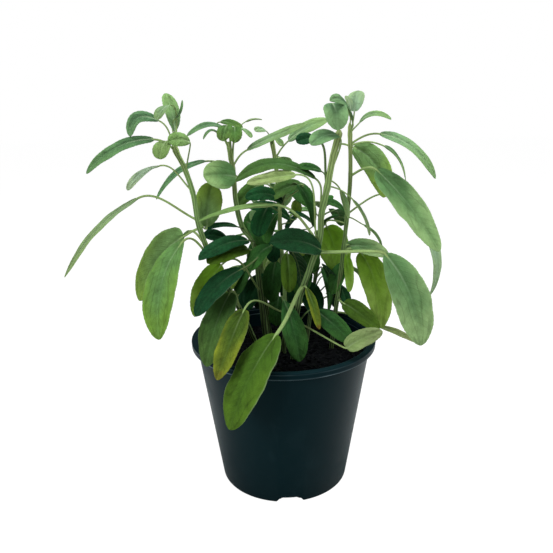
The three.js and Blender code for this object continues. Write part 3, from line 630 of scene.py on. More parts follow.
LEAFY_STEMS = {
    "stem_left": {
        "axis": [[-12, -9, STEM_BOTTOM], [-16, -11, 93], [-23, -14, 115], [-36, -16, 145],
                 [-46, -18, 165], [-54, -20, 190], [-57, -19, 211], [-62, -17, 227],
                 [-67, -16, 238], [-68, -15, 246]],
        "radius": [1.9, 1.6],
        "leaves": [
            ["frosted", 245, [-67, -15, 249], [-73, -6, 272], 10.5, 1, 0, {"widest": 0.6, "sway": 1}],
            ["frosted", 235, [-69, -19, 265], [-75, -27, 257], 10, 1.5, 0],
            ["sage", 237, [-66, -15, 257], [-61, -17, 268], 3, -1.5, 60],
            ["sage", 238, [-76, -18, 256], [-93, -24, 247], 8.5, 7.5, -50, {"arch_place": 0.58}],
            ["sage", 237, [-79, -22, 245], [-119, -34, 226], 10, 5.5, -35, {"light": 0.75}],
            ["young", 238, [-71, -24, 244], [-74, -33, 234], 11.5, 2, 0, {"light": 1.05}],
            ["young", 224, [-57, -22, 243], [-69, -30, 244], 9.5, 1.5, -60, {"light": 1.2, "pull": 0.08}],
            ["downy", 212, [-76, -22, 229], [-96, -30, 215], 6.5, 3, -35,
             {"widest": 0.72, "rise": 0.03, "light": 1.25}],
            ["frosted", 194, [-90, -30, 210], [-133, -52, 166], 13, 5, 0, {"rise": 0.02, "light": 0.95}],
            ["green", 165, [-63, -36, 183], [-77, -58, 127], 24.5, 3, 0, {"sway": 6, "widest": 0.56}],
            ["green", 188, [-65, -16, 182], [-98, -12, 137], 29, 3, -50, {"sway": 3, "light": 1.2}],
            ["green", 190, [-50, -10, 187], [-46, -2, 215], 18.5, 2, 50, {"widest": 0.54, "light": 1.05}],
            ["dark", 130, [-35, -25, 146], [-50, -48, 104], 23, 4, 0, {"light": 0.85}],
            ["green", 176, [-66, 4, 180], [-86, 22, 136], 22, 5, -20],
        ],
    },
    "stem_mid_left": {
        "axis": [[-10, 0, STEM_BOTTOM], [-11, 1, 93], [-14, 4, 116], [-17, 9, 145],
                 [-20, 12, 170], [-28, 13, 182], [-32, 14, 200], [-33, 15, 217], [-36, 15, 240]],
        "radius": [2.4, 1.6],
        "leaves": [
            ["sage", 228, [-39, 10, 250], [-62, 4, 245], 8, 3.5, -20],
            ["sage", 224, [-40, 6, 245], [-51, 0, 243], 4, 4.5, -10],
            ["dark", 235, [-41, 16, 253], [-26, 14, 249], 7.5, 1, 25],
            ["dark", 222, [-36, 10, 251], [-38, -4, 242], 10.5, 1.5, 0, {"light": 1.1}],
            ["dark", 222, [-31, 8, 250], [-30, -5, 241], 9.5, 1.5, 0],
            ["frosted", 230, [-24, 16, 253], [-13, 18, 254], 5, 1, 0],
            ["frosted", 229, [-27, 13, 249], [-20, 8, 243], 6, 1, 0],
            ["sage", 220, [-51, 8, 228], [-84, 0, 204], 8, 5.4, -20],
            ["soft", 217, [-31, 4, 218], [-51, -8, 220], 20, 1, -65, {"light": 1.3}],
            ["frosted", 223, [-23, 10, 235], [17, 3, 252], 12.5, 0.8, 25,
             {"widest": 0.45, "light": 0.85}],
            ["shade", 180, [-31, 4, 184], [-52, -8, 185], 6.5, 2, -20],
            ["shade", 168, [-23, -12, 178], [-53, -38, 172], 13, 3.5, -25],
            ["olive", 157, [-23, -12, 172], [-48, -35, 169], 15, 3, -30, {"light": 1.1}],
            ["lime", 136, [-40, -25, 165], [-59, -26, 130], 15.5, 2.5, -68, {"light": 1.65}],
            ["deep", 173, [-24, 18, 184], [-13, 12, 165], 15, 3, 20],
            ["shade", 157, [-37, 2, 174], [-53, -6, 180], 11, 2, -40],
        ],
    },
    "stem_back": {
        "axis": [[4, 12, STEM_BOTTOM], [3, 13, 93], [1, 16, 127], [-1, 22, 160], [-2, 28, 190],
                 [-4, 32, 222], [-7, 34, 241]],
        "radius": [1.9, 1.6],
        "leaves": [
            ["downy", 239, [-11, 32, 246], [-18, 26, 246], 7, 1, -30],
            ["deep", 235, [-8, 30, 240], [-18, 26, 235], 6, 1, -20],
            ["soft", 236, [-4, 29, 241], [0, 22, 236], 6, 1, 0],
            ["frosted", 226, [5, 30, 239], [32, 22, 253], 13, 2, 40],
            ["dark", 199, [-13, 30, 209], [-31, 24, 194], 13, 3, -40],
            ["deep", 206, [4, 28, 208], [20, 18, 194], 15, 3, 30],
            ["shade", 179, [5, 12, 187], [-23, 4, 197], 12, 4, -35],
            ["lime", 186, [10, 18, 187], [10, 21, 199], 7.5, 1, 0],
            ["deep", 165, [-12, 24, 170], [-24, 26, 152], 16, 3, -30],
            ["deep", 172, [10, 24, 166], [22, 13, 148], 16, 3, 30],
            ["shade", 132, [-10, 22, 142], [-26, 20, 118], 20, 4, -30],
            ["shade", 130, [12, 20, 138], [24, 16, 112], 20, 4, 30],
            ["soft", 204, [-4, 47, 206], [2, 67, 186], 17, 5, 0],
            ["soft", 222, [-1, 46, 226], [5, 66, 212], 12, 3, 0],
            ["shade", 172, [20, 10, 185], [4, 6, 193], 5, 2, -30],
            ["deep", 142, [-5, 18, 155], [-8, 10, 127], 15, 3, 0],
            ["shade", 137, [2, 22, 143], [4, 16, 124], 13, 2, 0],
            ["shade", 162, [-2, 9, 174], [-7, 2, 159], 13, 2, 0],
        ],
    },
    "stem_centre": {
        "axis": [[0, -5, STEM_BOTTOM], [0, -5, 93], [1, -5, 115], [1, -4, 141], [-1, -4, 176],
                 [-2, -4, 200]],
        "radius": [1.9, 1.1],
        "leaves": [
            ["shade", 194, [0, -6, 202], [-24, -12, 206], 12, 4.5, -40],
            ["shade", 195, [-10, -8, 199], [-16, -18, 182], 15, 2, 0],
            ["deep", 199, [10, -8, 214], [20, -13, 187], 13, 3, 0],
            ["dark", 199, [12, -8, 214], [-9, -6, 204], 14, 2, -35],
            ["shade", 176, [-27, -29, 163], [-55, -50, 139], 19, 4, -10],
            ["yellow", 125, [-25, -44, 141], [-41, -72, 106], 17, 1.5, 0,
             {"widest": 0.45, "rise": -0.02}],
            ["deep", 126, [0, -23, 140], [10, -42, 104], 17, 3, 0, {"widest": 0.62}],
            ["deep", 172, [-8, -12, 174], [-22, -22, 160], 13, 3, -20],
            ["olive", 161, [3, -10, 168], [4, -16, 143], 11, 2, 0, {"light": 0.85}],
            ["shade", 164, [6, -2, 169], [13, 4, 137], 16, 3, 0],
            ["deep", 182, [-4, 0, 193], [-11, -4, 174], 11, 2, -20],
        ],
    },
    "stem_mid_right": {
        "axis": [[4, -15, STEM_BOTTOM], [6, -16, 93], [8, -17, 120], [11, -18, 140],
                 [19, -18, 164], [24, -18, 180], [25, -17, 196], [28, -16, 210],
                 [32, -16, 232], [36, -16, 249]],
        "radius": [1.9, 2.2],
        "leaves": [
            ["sage", 246, [31, -20, 265], [33, -33, 250], 15, 3, 0, {"widest": 0.5, "light": 1.2}],
            ["frosted", 246, [37, -19, 261], [36, -27, 251], 6, 2, 0],
            ["sage", 212, [34, -22, 246], [17, -40, 242], 13, 2.5, -25],
            ["shade", 213, [20, -18, 244], [9, -22, 242], 9.5, 1, -45, {"stalk": 0.9}],
            ["dark", 196, [21, -16, 219], [-29, -26, 219], 15, 10, -22,
             {"arch_place": 0.56, "light": 0.7}],
            ["pale", 175, [8, -27, 223], [-22, -34, 219], 9.5, 0.6, -40, {"light": 0.88}],
            ["young", 177, [-6, -30, 205], [-51, -46, 198], 11.5, 2.6, 0, {"stalk": 1.1, "light": 0.95}],
            ["shade", 171, [24, -28, 175], [-8, -40, 183], 20, 3.5, -40, {"light": 0.7}],
            ["green", 233, [49, 18, 235], [69, 8, 202], 20, 4, 45, {"sway": -3, "light": 1.25}],
            ["soft", 218, [38, -8, 210], [44, -2, 190], 6, 1, 0],
            ["soft", 214, [46, -8, 204], [58, -6, 179], 9, 2, 0],
            ["soft", 171, [65, -28, 172], [87, -46, 116], 24.5, 4, 40,
             {"widest": 0.54, "sway": -2, "rise": 0, "stalk": 1.15, "pull": 0.1, "light": 1.02}],
            ["olive", 148, [-5, -54, 128], [-34, -80, 77], 31, 4, 0, {"widest": 0.5, "stalk": 1.4}],
            ["yellow", 146, [15, -26, 149], [23, -36, 124], 7.5, 1, 0, {"light": 1.35}],
            ["deep", 119, [22, -24, 132], [44, -38, 115], 14, 1, 35, {"light": 0.8}],
            ["pale", 122, [40, -44, 114], [64, -36, 122], 12.5, 1.5, 40,
             {"widest": 0.38, "pull": 0.05, "rise": 0.04, "light": 0.85}],
            ["deep", 204, [25, -12, 223], [10, -16, 226], 9, 1, -30],
        ],
    },
    "stem_right": {
        "axis": [[32, 1, STEM_BOTTOM], [34, 1, 93], [37, 2, 123], [41, 6, 155], [44, 8, 185],
                 [46, 8, 214], [45, 8, 252]],
        "radius": [1.7, 1.4],
        "leaves": [
            ["sage", 245, [45, -6, 254], [28, -36, 267], 9, 6, -50],
            ["downy", 241, [48, 10, 259], [51, 16, 272], 12, 1, 0, {"light": 1.2}],
            ["downy", 245, [45, 6, 260], [42, 9, 269], 6, 1, 0],
            ["frosted", 245, [51, 6, 252], [71, 2, 254], 6.5, 4.7, 30],
            ["frosted", 238, [64, 2, 245], [99, -10, 217], 13.5, 6, 20, {"light": 0.92}],
            ["soft", 237, [71, 24, 235], [88, 30, 210], 6.5, 4, 35],
            ["soft", 217, [62, -4, 222], [102, -20, 171], 25, 2.5, 30,
             {"widest": 0.44, "stalk": 0.9, "light": 1.02}],
            ["downy", 191, [77, 14, 201], [104, 6, 132], 11, 14, 35,
             {"arch_place": 0.6, "widest": 0.34, "stalk": 0.7, "light": 1.25}],
            ["soft", 189, [57, 14, 182], [70, 16, 166], 8, 2, 0],
            ["soft", 167, [44, 12, 167], [74, 8, 161], 12, 3, 50, {"light": 1.3}],
            ["lime", 165, [44, 2, 164], [46, -2, 138], 8, 1, 0, {"light": 1.6}],
            ["lime", 184, [32, 28, 178], [41, 20, 145], 22, 2, 50, {"light": 1.45}],
            ["deep", 190, [44, 22, 190], [28, 18, 198], 12, 2, -20],
            ["deep", 186, [40, 24, 186], [29, 30, 176], 10, 3, 0],
            ["lime", 166, [55, 12, 163], [70, 2, 109], 21, 4, 35,
             {"sway": -1, "widest": 0.42, "light": 1.4}],
            ["shade", 128, [40, 18, 128], [28, 11, 155], 14, 2, 0],
            ["olive", 131, [42, -2, 130], [66, -12, 114], 15, 1, 35, {"widest": 0.42}],
            ["deep", 150, [45, 14, 155], [35, 6, 134], 15, 2, 0],
            ["green", 169, [60, 28, 160], [79, 42, 122], 22, 5, 10],
            ["pale", 122, [70, 8, 108], [96, 2, 98], 6.5, 1, 20, {"light": 0.75}],
        ],
    },
    "stem_rear_left": {
        "axis": [[-6, 12, STEM_BOTTOM], [-9, 19, 93], [-13, 30, 125], [-16, 38, 155],
                 [-18, 43, 187]],
        "radius": [1.9, 1.1],
        "leaves": [
            ["olive", 116, [-24, 44, 124], [-44, 72, 98], 23, 6, 0],
            ["deep", 118, [-3, 38, 122], [-5, 20, 105], 15, 2, 0],
            ["green", 140, [-10, 54, 148], [-8, 92, 118], 24, 7, 0],
            ["green", 142, [-28, 32, 148], [-42, 20, 129], 19, 4, 0],
            ["soft", 162, [-30, 50, 168], [-50, 66, 140], 21, 5, 0],
            ["green", 164, [-6, 42, 172], [8, 44, 158], 18, 3, 0],
            ["soft", 181, [-14, 54, 190], [-10, 80, 178], 16, 4, 0],
            ["soft", 186, [-14, 36, 191], [-18, 22, 180], 13, 3, 0],
            ["frosted", 185, [-20, 46, 192], [-24, 50, 203], 8, 1, 0],
            ["frosted", 185, [-15, 41, 192], [-9, 36, 200], 8, 1, 0],
            ["deep", 176, [-17, 38, 190], [-23, 28, 170], 15, 3, 0],
            ["deep", 140, [-23, 30, 152], [-33, 18, 131], 15, 3, 0],
            ["shade", 130, [-23, 34, 133], [-30, 28, 113], 15, 2, 0],
            ["shade", 128, [-15, 33, 138], [-19, 28, 116], 13, 2, 0],
        ],
    },
    "stem_rear_right": {
        "axis": [[13, 8, STEM_BOTTOM], [17, 15, 93], [22, 27, 125], [27, 36, 155], [30, 42, 184]],
        "radius": [1.9, 1.1],
        "leaves": [
            ["olive", 114, [36, 38, 122], [58, 58, 94], 23, 6, 0],
            ["green", 118, [16, 42, 126], [8, 72, 98], 23, 5, 0],
            ["green", 138, [42, 44, 146], [68, 54, 120], 21, 5, 0],
            ["deep", 140, [17, 26, 148], [12, 8, 132], 15, 3, 0],
            ["soft", 161, [34, 54, 168], [40, 88, 142], 22, 6, 0],
            ["green", 162, [20, 26, 172], [12, 12, 160], 14, 3, 0],
            ["deep", 183, [39, 44, 187], [46, 62, 171], 14, 4, 0],
            ["soft", 179, [22, 42, 187], [4, 44, 180], 15, 3, 0],
            ["deep", 184, [33, 44, 190], [37, 50, 197], 7, 1, 0],
            ["frosted", 182, [28, 38, 190], [24, 30, 196], 8, 1, 0],
            ["deep", 141, [29, 29, 147], [34, 27, 113], 17, 3, 0],
            ["shade", 123, [42, 36, 132], [49, 31, 111], 13, 2, 0],
            ["shade", 129, [33, 42, 135], [39, 39, 113], 14, 2, 0],
            ["shade", 166, [13, 30, 186], [3, 26, 176], 10, 2, 0],
        ],
    },
}
print("leaves:", sum(len(stem["leaves"]) for stem in LEAFY_STEMS.values()))


# %% [markdown]
# ## Curves of stems, stalks and ribs
#
# A stem passes through its points on a centripetal Catmull-Rom curve, a stalk is a cubic Bezier
# curve and a rib a quadratic one. They are worked out here as rows of points, because each point
# also has to carry a frame of its own: which way is sideways on the blade, and which way its
# upper face looks.

# %% Curves
UP = np.array([0.0, 0.0, 1.0])


def unit(vectors):
    return vectors / np.linalg.norm(vectors, axis=-1, keepdims=True)


def through_points(points, shares):
    """Points on a centripetal Catmull-Rom curve, at shares of the way along its list."""
    points = np.array(points, float)
    ends = 2 * points[[0, -1]] - points[[1, -2]]
    padded = np.vstack([ends[:1], points, ends[1:]])
    made = []
    for share in shares:
        whole = share * (len(points) - 1)
        piece = min(int(whole), len(points) - 2)
        t = whole - piece
        p0, p1, p2, p3 = padded[piece:piece + 4]
        d0, d1, d2 = (math.sqrt(np.linalg.norm(b - a)) for a, b in ((p0, p1), (p1, p2), (p2, p3)))
        slope1 = ((p1 - p0) / d0 - (p2 - p0) / (d0 + d1) + (p2 - p1) / d1) * d1
        slope2 = ((p2 - p1) / d1 - (p3 - p1) / (d1 + d2) + (p3 - p2) / d2) * d1
        bend = 3 * (p2 - p1) - 2 * slope1 - slope2
        made.append(p1 + slope1 * t + bend * t**2 + (2 * (p1 - p2) + slope1 + slope2) * t**3)
    return np.array(made)


def bezier(corners, shares):
    """Points on a Bezier curve of any number of corners."""
    rows = [np.repeat(np.array(corner, float)[None], len(shares), 0) for corner in corners]
    share = np.asarray(shares)[:, None]
    while len(rows) > 1:
        rows = [low * (1 - share) + high * share for low, high in zip(rows, rows[1:])]
    return rows[0]


def directions(points):
    """The direction of a row of points at each of them."""
    return unit(np.gradient(points, axis=0))


def turned_frame(tangents, level, roll):
    """The sideways and upward directions along a curve, rolled about it."""
    side = unit(level - (tangents @ level)[:, None] * tangents)
    across = np.cross(tangents, side)
    side = side * math.cos(roll) + across * math.sin(roll)
    return side, np.cross(side, tangents)


print("half way along a small curve:", bezier([(0, 0, 0), (0, 0, 2), (2, 0, 2)], [0.5])[0])


# %% [markdown]
# ## Two sweeps
#
# A blade and a stalk are both a cross-section that is carried along a line, so both are Geometry
# Nodes trees that start alike: the rows of points become curves, a circle is swept along them,
# and each point of the result is then put in place by a formula from the values that it carries.
# For a blade the circle is pressed into a thin lens that is folded along the rib. For a stalk it
# stays round, with a channel on top, or gets the four blunt corners of a sage stem.

# %% The start that both sweeps share
SECTION_PARTS = ["section_x", "section_y"]


def attribute(tree, name, kind="FLOAT"):
    """A value that the points carry, in a Geometry Nodes tree."""
    return node(tree, "GeometryNodeInputNamedAttribute", {"data_type": kind}, {"Name": name})


def keep(tree, shape, name, value, kind="FLOAT"):
    """Stores a value on the points of a shape."""
    values = {"Geometry": shape, "Name": name, "Value": value}
    return node(tree, "GeometryNodeStoreNamedAttribute", {"data_type": kind, "domain": "POINT"}, values)


def swept_circle(tree, lines, section_points):
    """A tube along each row of points. Each of its points knows its place in the section."""
    curves = node(tree, "GeometryNodeMeshToCurve", {}, {"Mesh": lines})
    place = node(tree, "GeometryNodeInputPosition")
    curves = keep(tree, curves, "line", place, "FLOAT_VECTOR")
    circle = node(tree, "GeometryNodeCurvePrimitiveCircle", {"mode": "RADIUS"},
                  {"Resolution": section_points, "Radius": 1.0})
    for index, name in enumerate(SECTION_PARTS):
        circle = keep(tree, circle, name, place.part(index))
    values = {"Curve": curves, "Profile Curve": circle, "Fill Caps": True}
    return node(tree, "GeometryNodeCurveToMesh", {}, values)


def placed(tree, shape, sideways, upward, forward=None):
    """Moves each point to its line, then sideways, upward and forward by the given lengths."""
    line = attribute(tree, "line", "FLOAT_VECTOR")
    side = attribute(tree, "side", "FLOAT_VECTOR")
    face = attribute(tree, "face", "FLOAT_VECTOR")
    place = line.vector("ADD", side.vector("SCALE", sideways))
    place = place.vector("ADD", face.vector("SCALE", upward))
    if forward is not None:
        ahead = face.vector("CROSS_PRODUCT", side)
        place = place.vector("ADD", ahead.vector("SCALE", forward))
    return node(tree, "GeometryNodeSetPosition", {}, {"Geometry": shape, "Position": place})


print("each point of a sweep carries its row's values and its", " and ".join(SECTION_PARTS))


# %% [markdown]
# ## The blade
#
# A sage blade is a thick, soft sheet with a fine scalloped margin. Its lateral veins leave the
# rib in pairs, curve forward, and sink into the upper face, so that the face between them is
# raised in low quilted cushions, and the same veins stand out beneath. All of this depends only
# on where a point lies along and across the blade, so it is one formula, and every size in it
# is a named input of the tree. Thick felt fills the valleys, so that a frosted leaf is smoother.

# %% The tree of a blade
def blade_tree():
    inputs = {
        "Section points": 36, "Section power": 1.5, "Thickness": 0.0005, "Edge bluntness": 0.45,
        "Full size": 0.004, "Vein spacing": 0.0040, "Vein slant": 0.80, "Vein bend": 0.35,
        "Quilt height": 0.00042, "Quilt fullness": 0.7, "Quilt start": 0.0003, "Quilt top": 0.0018,
        "Groove width": 0.0009, "Groove depth": 0.00036, "Groove loss": 0.7,
        "Tooth length": 0.0023, "Tooth depth": 0.00028, "Ripple height": 0.0011,
        "Ripple length": 0.017, "Ripple power": 1.3, "Bulge": 0.05, "Lobe": 0.16,
        "Lobe end": 0.13, "Lobe power": 1.6, "Unevenness": 0.16, "Uneven length": 0.014,
        "Felt cover": 0.7, "Material": None,
    }
    tree, wire = new_tree("blade", inputs)
    shape = swept_circle(tree, wire["Geometry"], wire["Section points"])
    half, run, along = (attribute(tree, name) for name in ("half", "run", "along"))
    fold, seed = attribute(tree, "fold"), attribute(tree, "seed")
    section_x, section_y = (attribute(tree, name) for name in SECTION_PARTS)
    bare = 1 - attribute(tree, "felt") * wire["Felt cover"]
    from_rib = abs(section_x) ** wire["Section power"]
    which_side = section_x.math("SIGN")
    across = which_side * from_rib
    distance = from_rib * half
    inner = (half / wire["Full size"]).math("MINIMUM", 1.0)

    scallop = abs((run * math.pi / wire["Tooth length"] + seed).math("SINE")) - 0.5
    tooth = scallop * wire["Tooth depth"] * inner * from_rib ** 4
    slant = distance * wire["Vein slant"] + distance * from_rib * wire["Vein bend"]
    vein = (run - slant) / wire["Vein spacing"]
    cushion = abs((vein * math.pi).math("SINE")) ** wire["Quilt fullness"]
    off_rib = distance.rising(wire["Quilt start"], wire["Quilt top"])
    quilt = cushion * wire["Quilt height"] * off_rib * (1 - from_rib ** 5) * inner * bare
    groove_share = distance / wire["Groove width"]
    groove = (-(groove_share * groove_share)).math("EXPONENT") * wire["Groove depth"] * inner
    groove = groove * (1 - along * wire["Groove loss"])
    wander = vector_of(run / wire["Ripple length"], across * 0.9, seed * 7.3)
    ripple = (cloudy(wander, 1.0, 1.0) - 0.5) * wire["Ripple height"] * 2.0
    ripple = ripple * from_rib ** wire["Ripple power"] * inner
    bulge = (from_rib * math.pi).math("SINE") * half * wire["Bulge"]
    lens = section_y.math("SIGN") * abs(section_y) ** wire["Edge bluntness"] * wire["Thickness"] * 0.5

    edge_place = vector_of(run / wire["Uneven length"], which_side * 4.0, seed * 3.1)
    uneven = 1 + (cloudy(edge_place, 1.0) - 0.5) * wire["Unevenness"] * 2.0
    sideways = across * (half + tooth) * uneven * fold.math("COSINE")
    upward = distance * fold.math("SINE") + bulge + quilt - groove + ripple + lens
    lobe = 1 - along.rising(0.0, wire["Lobe end"])
    back = lobe * from_rib ** wire["Lobe power"] * half * wire["Lobe"]
    shape = placed(tree, shape, sideways, upward, -back)
    shape = keep(tree, shape, "across", across)
    shape = keep(tree, shape, "vein", vein)
    shape = keep(tree, shape, "under", section_y * -0.5 + 0.5)
    end_tree(tree, shape, wire["Material"])
    return tree


blade = blade_tree()
print("tree of a blade:", len(blade.nodes), "nodes")


# %% [markdown]
# ## Stems and stalks
#
# A sage stem is square with blunt corners. A leaf stalk is a slim rod with a channel along its
# top, and it goes on under the blade as its raised rib, thinner and thinner towards the tip. So
# stem, stalk and rib are one kind of rod, whose points say how thick, how square and how deeply
# channelled it is there.

# %% The tree of a rod
def rod_tree():
    inputs = {"Section points": 16, "Corner height": 0.13, "Channel depth": 0.75, "Material": None}
    tree, wire = new_tree("rod", inputs)
    shape = swept_circle(tree, wire["Geometry"], wire["Section points"])
    thickness, square = attribute(tree, "thickness"), attribute(tree, "square")
    section_x, section_y = (attribute(tree, name) for name in SECTION_PARTS)
    x_squared = section_x * section_x
    # The cosine of four times the angle round the section: 1 in the middle of each side.
    flatness = 1 - x_squared * (1 - x_squared) * 8
    stretch = 1 - flatness * square * wire["Corner height"]
    top = section_y.math("MAXIMUM", 0.0)
    dent = top * (1 - x_squared) ** 2 * attribute(tree, "channel") * wire["Channel depth"]
    upward = (section_y * stretch - dent) * thickness
    shape = placed(tree, shape, section_x * thickness * stretch, upward)
    end_tree(tree, shape, wire["Material"])
    return tree


rod = rod_tree()
print("tree of a rod:", len(rod.nodes), "nodes")


# %% [markdown]
# ## Hairs
#
# Stems, stalks and the ribs beneath the leaves carry short pale hairs that stand straight out of
# the surface. They are slim cones with three sides, strewn over the rods with a fixed seed.

# %% The tree of the hairs
def hair_tree():
    inputs = {"Hairs per square metre": 160000.0, "Length": 0.0006, "Radius": 0.000035,
              "Shortest": 0.45, "Seed": 5, "Material": None}
    tree, wire = new_tree("hairs", inputs)
    spread = {"Mesh": wire["Geometry"], "Density": wire["Hairs per square metre"], "Seed": wire["Seed"]}
    points = node(tree, "GeometryNodeDistributePointsOnFaces", {}, spread)
    turn = Wire(points.socket.node.outputs["Rotation"])
    cone = {"Vertices": 3, "Radius Top": 0.0, "Radius Bottom": wire["Radius"], "Depth": wire["Length"]}
    slim = node(tree, "GeometryNodeMeshCone", {"fill_type": "NGON"}, cone)
    size = random_number(tree, wire["Shortest"], 1.0, wire["Seed"])
    place = {"Points": points, "Instance": slim, "Rotation": turn, "Scale": size}
    end_tree(tree, node(tree, "GeometryNodeInstanceOnPoints", {}, place), wire["Material"])
    return tree


hair = hair_tree()
print("tree of the hairs:", len(hair.nodes), "nodes")


# %% [markdown]
# ## Rows of points for each leaf
#
# A blade's outline is blunt at both ends. Large leaves are widest a little before the middle and
# small ones a little past it, and small ones are folded up more steeply along the rib. Each leaf
# gets one row of points for its blade and one for its stalk. A leafy stem has one mesh of loose
# edges for all its blades and one for all its rods, with the values that the trees ask for.

# %% Shape of a leaf
ARCH_PLACE = 0.45
SMALLEST_LEAF = 12
LARGEST_LEAF = 40
WIDEST_PLACE = [0.56, 0.44]
END_BLUNTNESS = [0.48, 0.58]
SIDE_FULLNESS = 2.3
FOLD_AT_NO_LENGTH = 9
FOLD_LOSS = 0.1
FLATTEST_FOLD = 3
STEEPEST_FOLD = 7
STEP_LENGTH = 0.72
FEWEST_STEPS = 22
MOST_STEPS = 84
CROWDING_AT_ENDS = 0.4
WIDTH_MEASURED_FROM = 0.0015
LARGEST_STALK = 1.0
SMALLEST_STALK = 0.42
STALK_GROWTH = 0.008
STALK_RISE = 0.12
STALK_PULL = 0.35
STALK_FLARE = 0.35
FLARE_LENGTH = 3
STALK_LOSS = 0.15
RIB_LOSS = 0.67
RIB_END = 0.93
RIB_SINKS_BY = 0.1
RIB_GAP = 0.15
RODS_PER_MM = 0.5
FEWEST_STALK_STEPS = 6
FEWEST_RIB_STEPS = 8
NODE_SWELLING = 0.14
NODE_LENGTH = 1.6
STEM_TIP_SHARE = 0.4
STEM_SAMPLES = 400


def outline(along, length, widest):
    """The share of a blade's half width at places from its base, 0, to its tip, 1."""
    grown = np.clip((length - SMALLEST_LEAF) / (LARGEST_LEAF - SMALLEST_LEAF), 0, 1)
    middle = widest or np.interp(grown, [0, 1], WIDEST_PLACE)
    from_widest = np.abs(2 * along ** (math.log(0.5) / math.log(middle)) - 1)
    bluntness = np.interp(grown, [0, 1], END_BLUNTNESS)
    return np.maximum(1 - from_widest**SIDE_FULLNESS, 0) ** bluntness


def stem_at(axis, height):
    """The point of a stem's axis at a height."""
    shares = np.linspace(0, 1, STEM_SAMPLES)
    points = through_points(axis, shares)
    return np.array([np.interp(height, points[:, 2], points[:, part]) for part in range(3)])


def leaf_curves(axis, height, base, tip, arch, roll, more):
    """The corners of a leaf's stalk and rib as Bezier curves, and its level sideways direction."""
    root = stem_at(axis, height)
    base, tip = np.array(base, float), np.array(tip, float)
    chord = tip - base
    side = unit(np.cross(chord, UP))
    rise = unit(np.cross(side, chord))
    across = side * math.cos(roll) + np.cross(unit(chord), side) * math.sin(roll)
    top = base + chord * more.get("arch_place", ARCH_PLACE)
    top = top + rise * 2 * arch + across * 2 * more.get("sway", 0)
    reach = np.linalg.norm(base - root)
    leave = root + (base - root) * STALK_PULL + UP * more.get("rise", STALK_RISE) * reach
    arrive = base - unit(top - base) * more.get("pull", STALK_PULL) * reach
    return [root, leave, arrive, base], [base, top, tip], side


print("half width half way along a long leaf:", outline(np.array([0.5]), LARGEST_LEAF, None).round(3))


# %% Rows of points and their values
def repeated(values, count):
    """The same values for each of a row's points."""
    return np.repeat(np.array(values, float)[None], count, 0)


def blade_row(rib, level, width, roll, widest, kind, change, seed):
    """The points of a blade's rib and the values that they carry."""
    length = np.linalg.norm(np.diff(bezier(rib, np.linspace(0, 1, 30)), axis=0), axis=1).sum()
    count = int(np.clip(length / STEP_LENGTH, FEWEST_STEPS, MOST_STEPS))
    even = np.linspace(0, 1, count)
    crowded = 0.5 - 0.5 * np.cos(math.pi * even)
    along = even * (1 - CROWDING_AT_ENDS) + crowded * CROWDING_AT_ENDS
    points = bezier(rib, along)
    side, face = turned_frame(directions(points), level, roll)
    fold = math.radians(np.clip(FOLD_AT_NO_LENGTH - FOLD_LOSS * length, FLATTEST_FOLD, STEEPEST_FOLD))
    inside = np.clip(along, WIDTH_MEASURED_FROM, 1 - WIDTH_MEASURED_FROM)
    return {
        "points": mm(points), "side": side, "face": face,
        "half": mm(width / 2 * outline(inside, length, widest)), "run": mm(length * along),
        "along": along, "fold": np.full(count, fold), "seed": np.full(count, seed),
        "base_paint": repeated(np.array(colour(*kind["base"])[:3]) * change, count),
        "tip_paint": repeated(np.array(colour(*kind["tip"])[:3]) * change, count),
        "felt": np.full(count, kind["felt"]), "glow": np.full(count, kind["glow"]),
        "old": np.full(count, kind.get("old", 0.0)),
    }


def stalk_row(stalk, rib, level, roll, own_radius, paint):
    """The points of a stalk and of the rib that it becomes beneath the blade."""
    length = np.linalg.norm(np.array(rib[2]) - np.array(rib[0]))
    reach = np.linalg.norm(np.array(stalk[3]) - np.array(stalk[0]))
    radius = own_radius or min(LARGEST_STALK, SMALLEST_STALK + STALK_GROWTH * length)
    stalk_steps = max(FEWEST_STALK_STEPS, int(reach * RODS_PER_MM))
    first = np.linspace(0, 1, stalk_steps, endpoint=False)
    second = np.linspace(0, RIB_END, max(FEWEST_RIB_STEPS, int(length * RODS_PER_MM)))
    points = np.vstack([bezier(stalk, first), bezier(rib, second)])
    side, face = turned_frame(directions(points), level, roll)
    blade_share = np.concatenate([np.zeros(len(first)), second])
    stalk_share = np.concatenate([first, np.ones(len(second))])
    flare = 1 + STALK_FLARE * np.clip(1 - stalk_share * reach / FLARE_LENGTH, 0, 1) ** 2
    on_stalk = 1 - STALK_LOSS * stalk_share
    on_rib = 1 - STALK_LOSS - RIB_LOSS * np.clip(blade_share / RIB_END, 0, 1)
    thickness = radius * flare * np.where(blade_share > 0, on_rib, on_stalk)
    under = np.clip(blade_share / RIB_SINKS_BY, 0, 1)
    points = points - face * ((thickness + RIB_GAP) * under)[:, None]
    return {
        "points": mm(points), "side": side, "face": face, "thickness": mm(thickness),
        "square": np.zeros(len(points)), "channel": 1 - under, "along": stalk_share * 0.5 + 0.5,
        "paint": repeated(paint, len(points)),
    }


def stem_row(stem, heights, paint):
    """The points of a stem, a little swollen where leaves leave it."""
    count = int((stem["axis"][-1][2] - stem["axis"][0][2]) * RODS_PER_MM)
    shares = np.linspace(0, 1, count)
    points = through_points(stem["axis"], shares)
    side, face = turned_frame(directions(points), np.array([1.0, 0.0, 0.0]), 0)
    radius = stem["radius"][0] + (stem["radius"][1] - stem["radius"][0]) * shares
    for height in heights:
        off_node = (points[:, 2] - height) / NODE_LENGTH
        radius = radius + NODE_SWELLING * np.exp(-(off_node**2))
    radius[-1] *= STEM_TIP_SHARE
    return {
        "points": mm(points), "side": side, "face": face, "thickness": mm(radius),
        "square": np.ones(count), "channel": np.zeros(count), "along": shares,
        "paint": repeated(paint, count),
    }


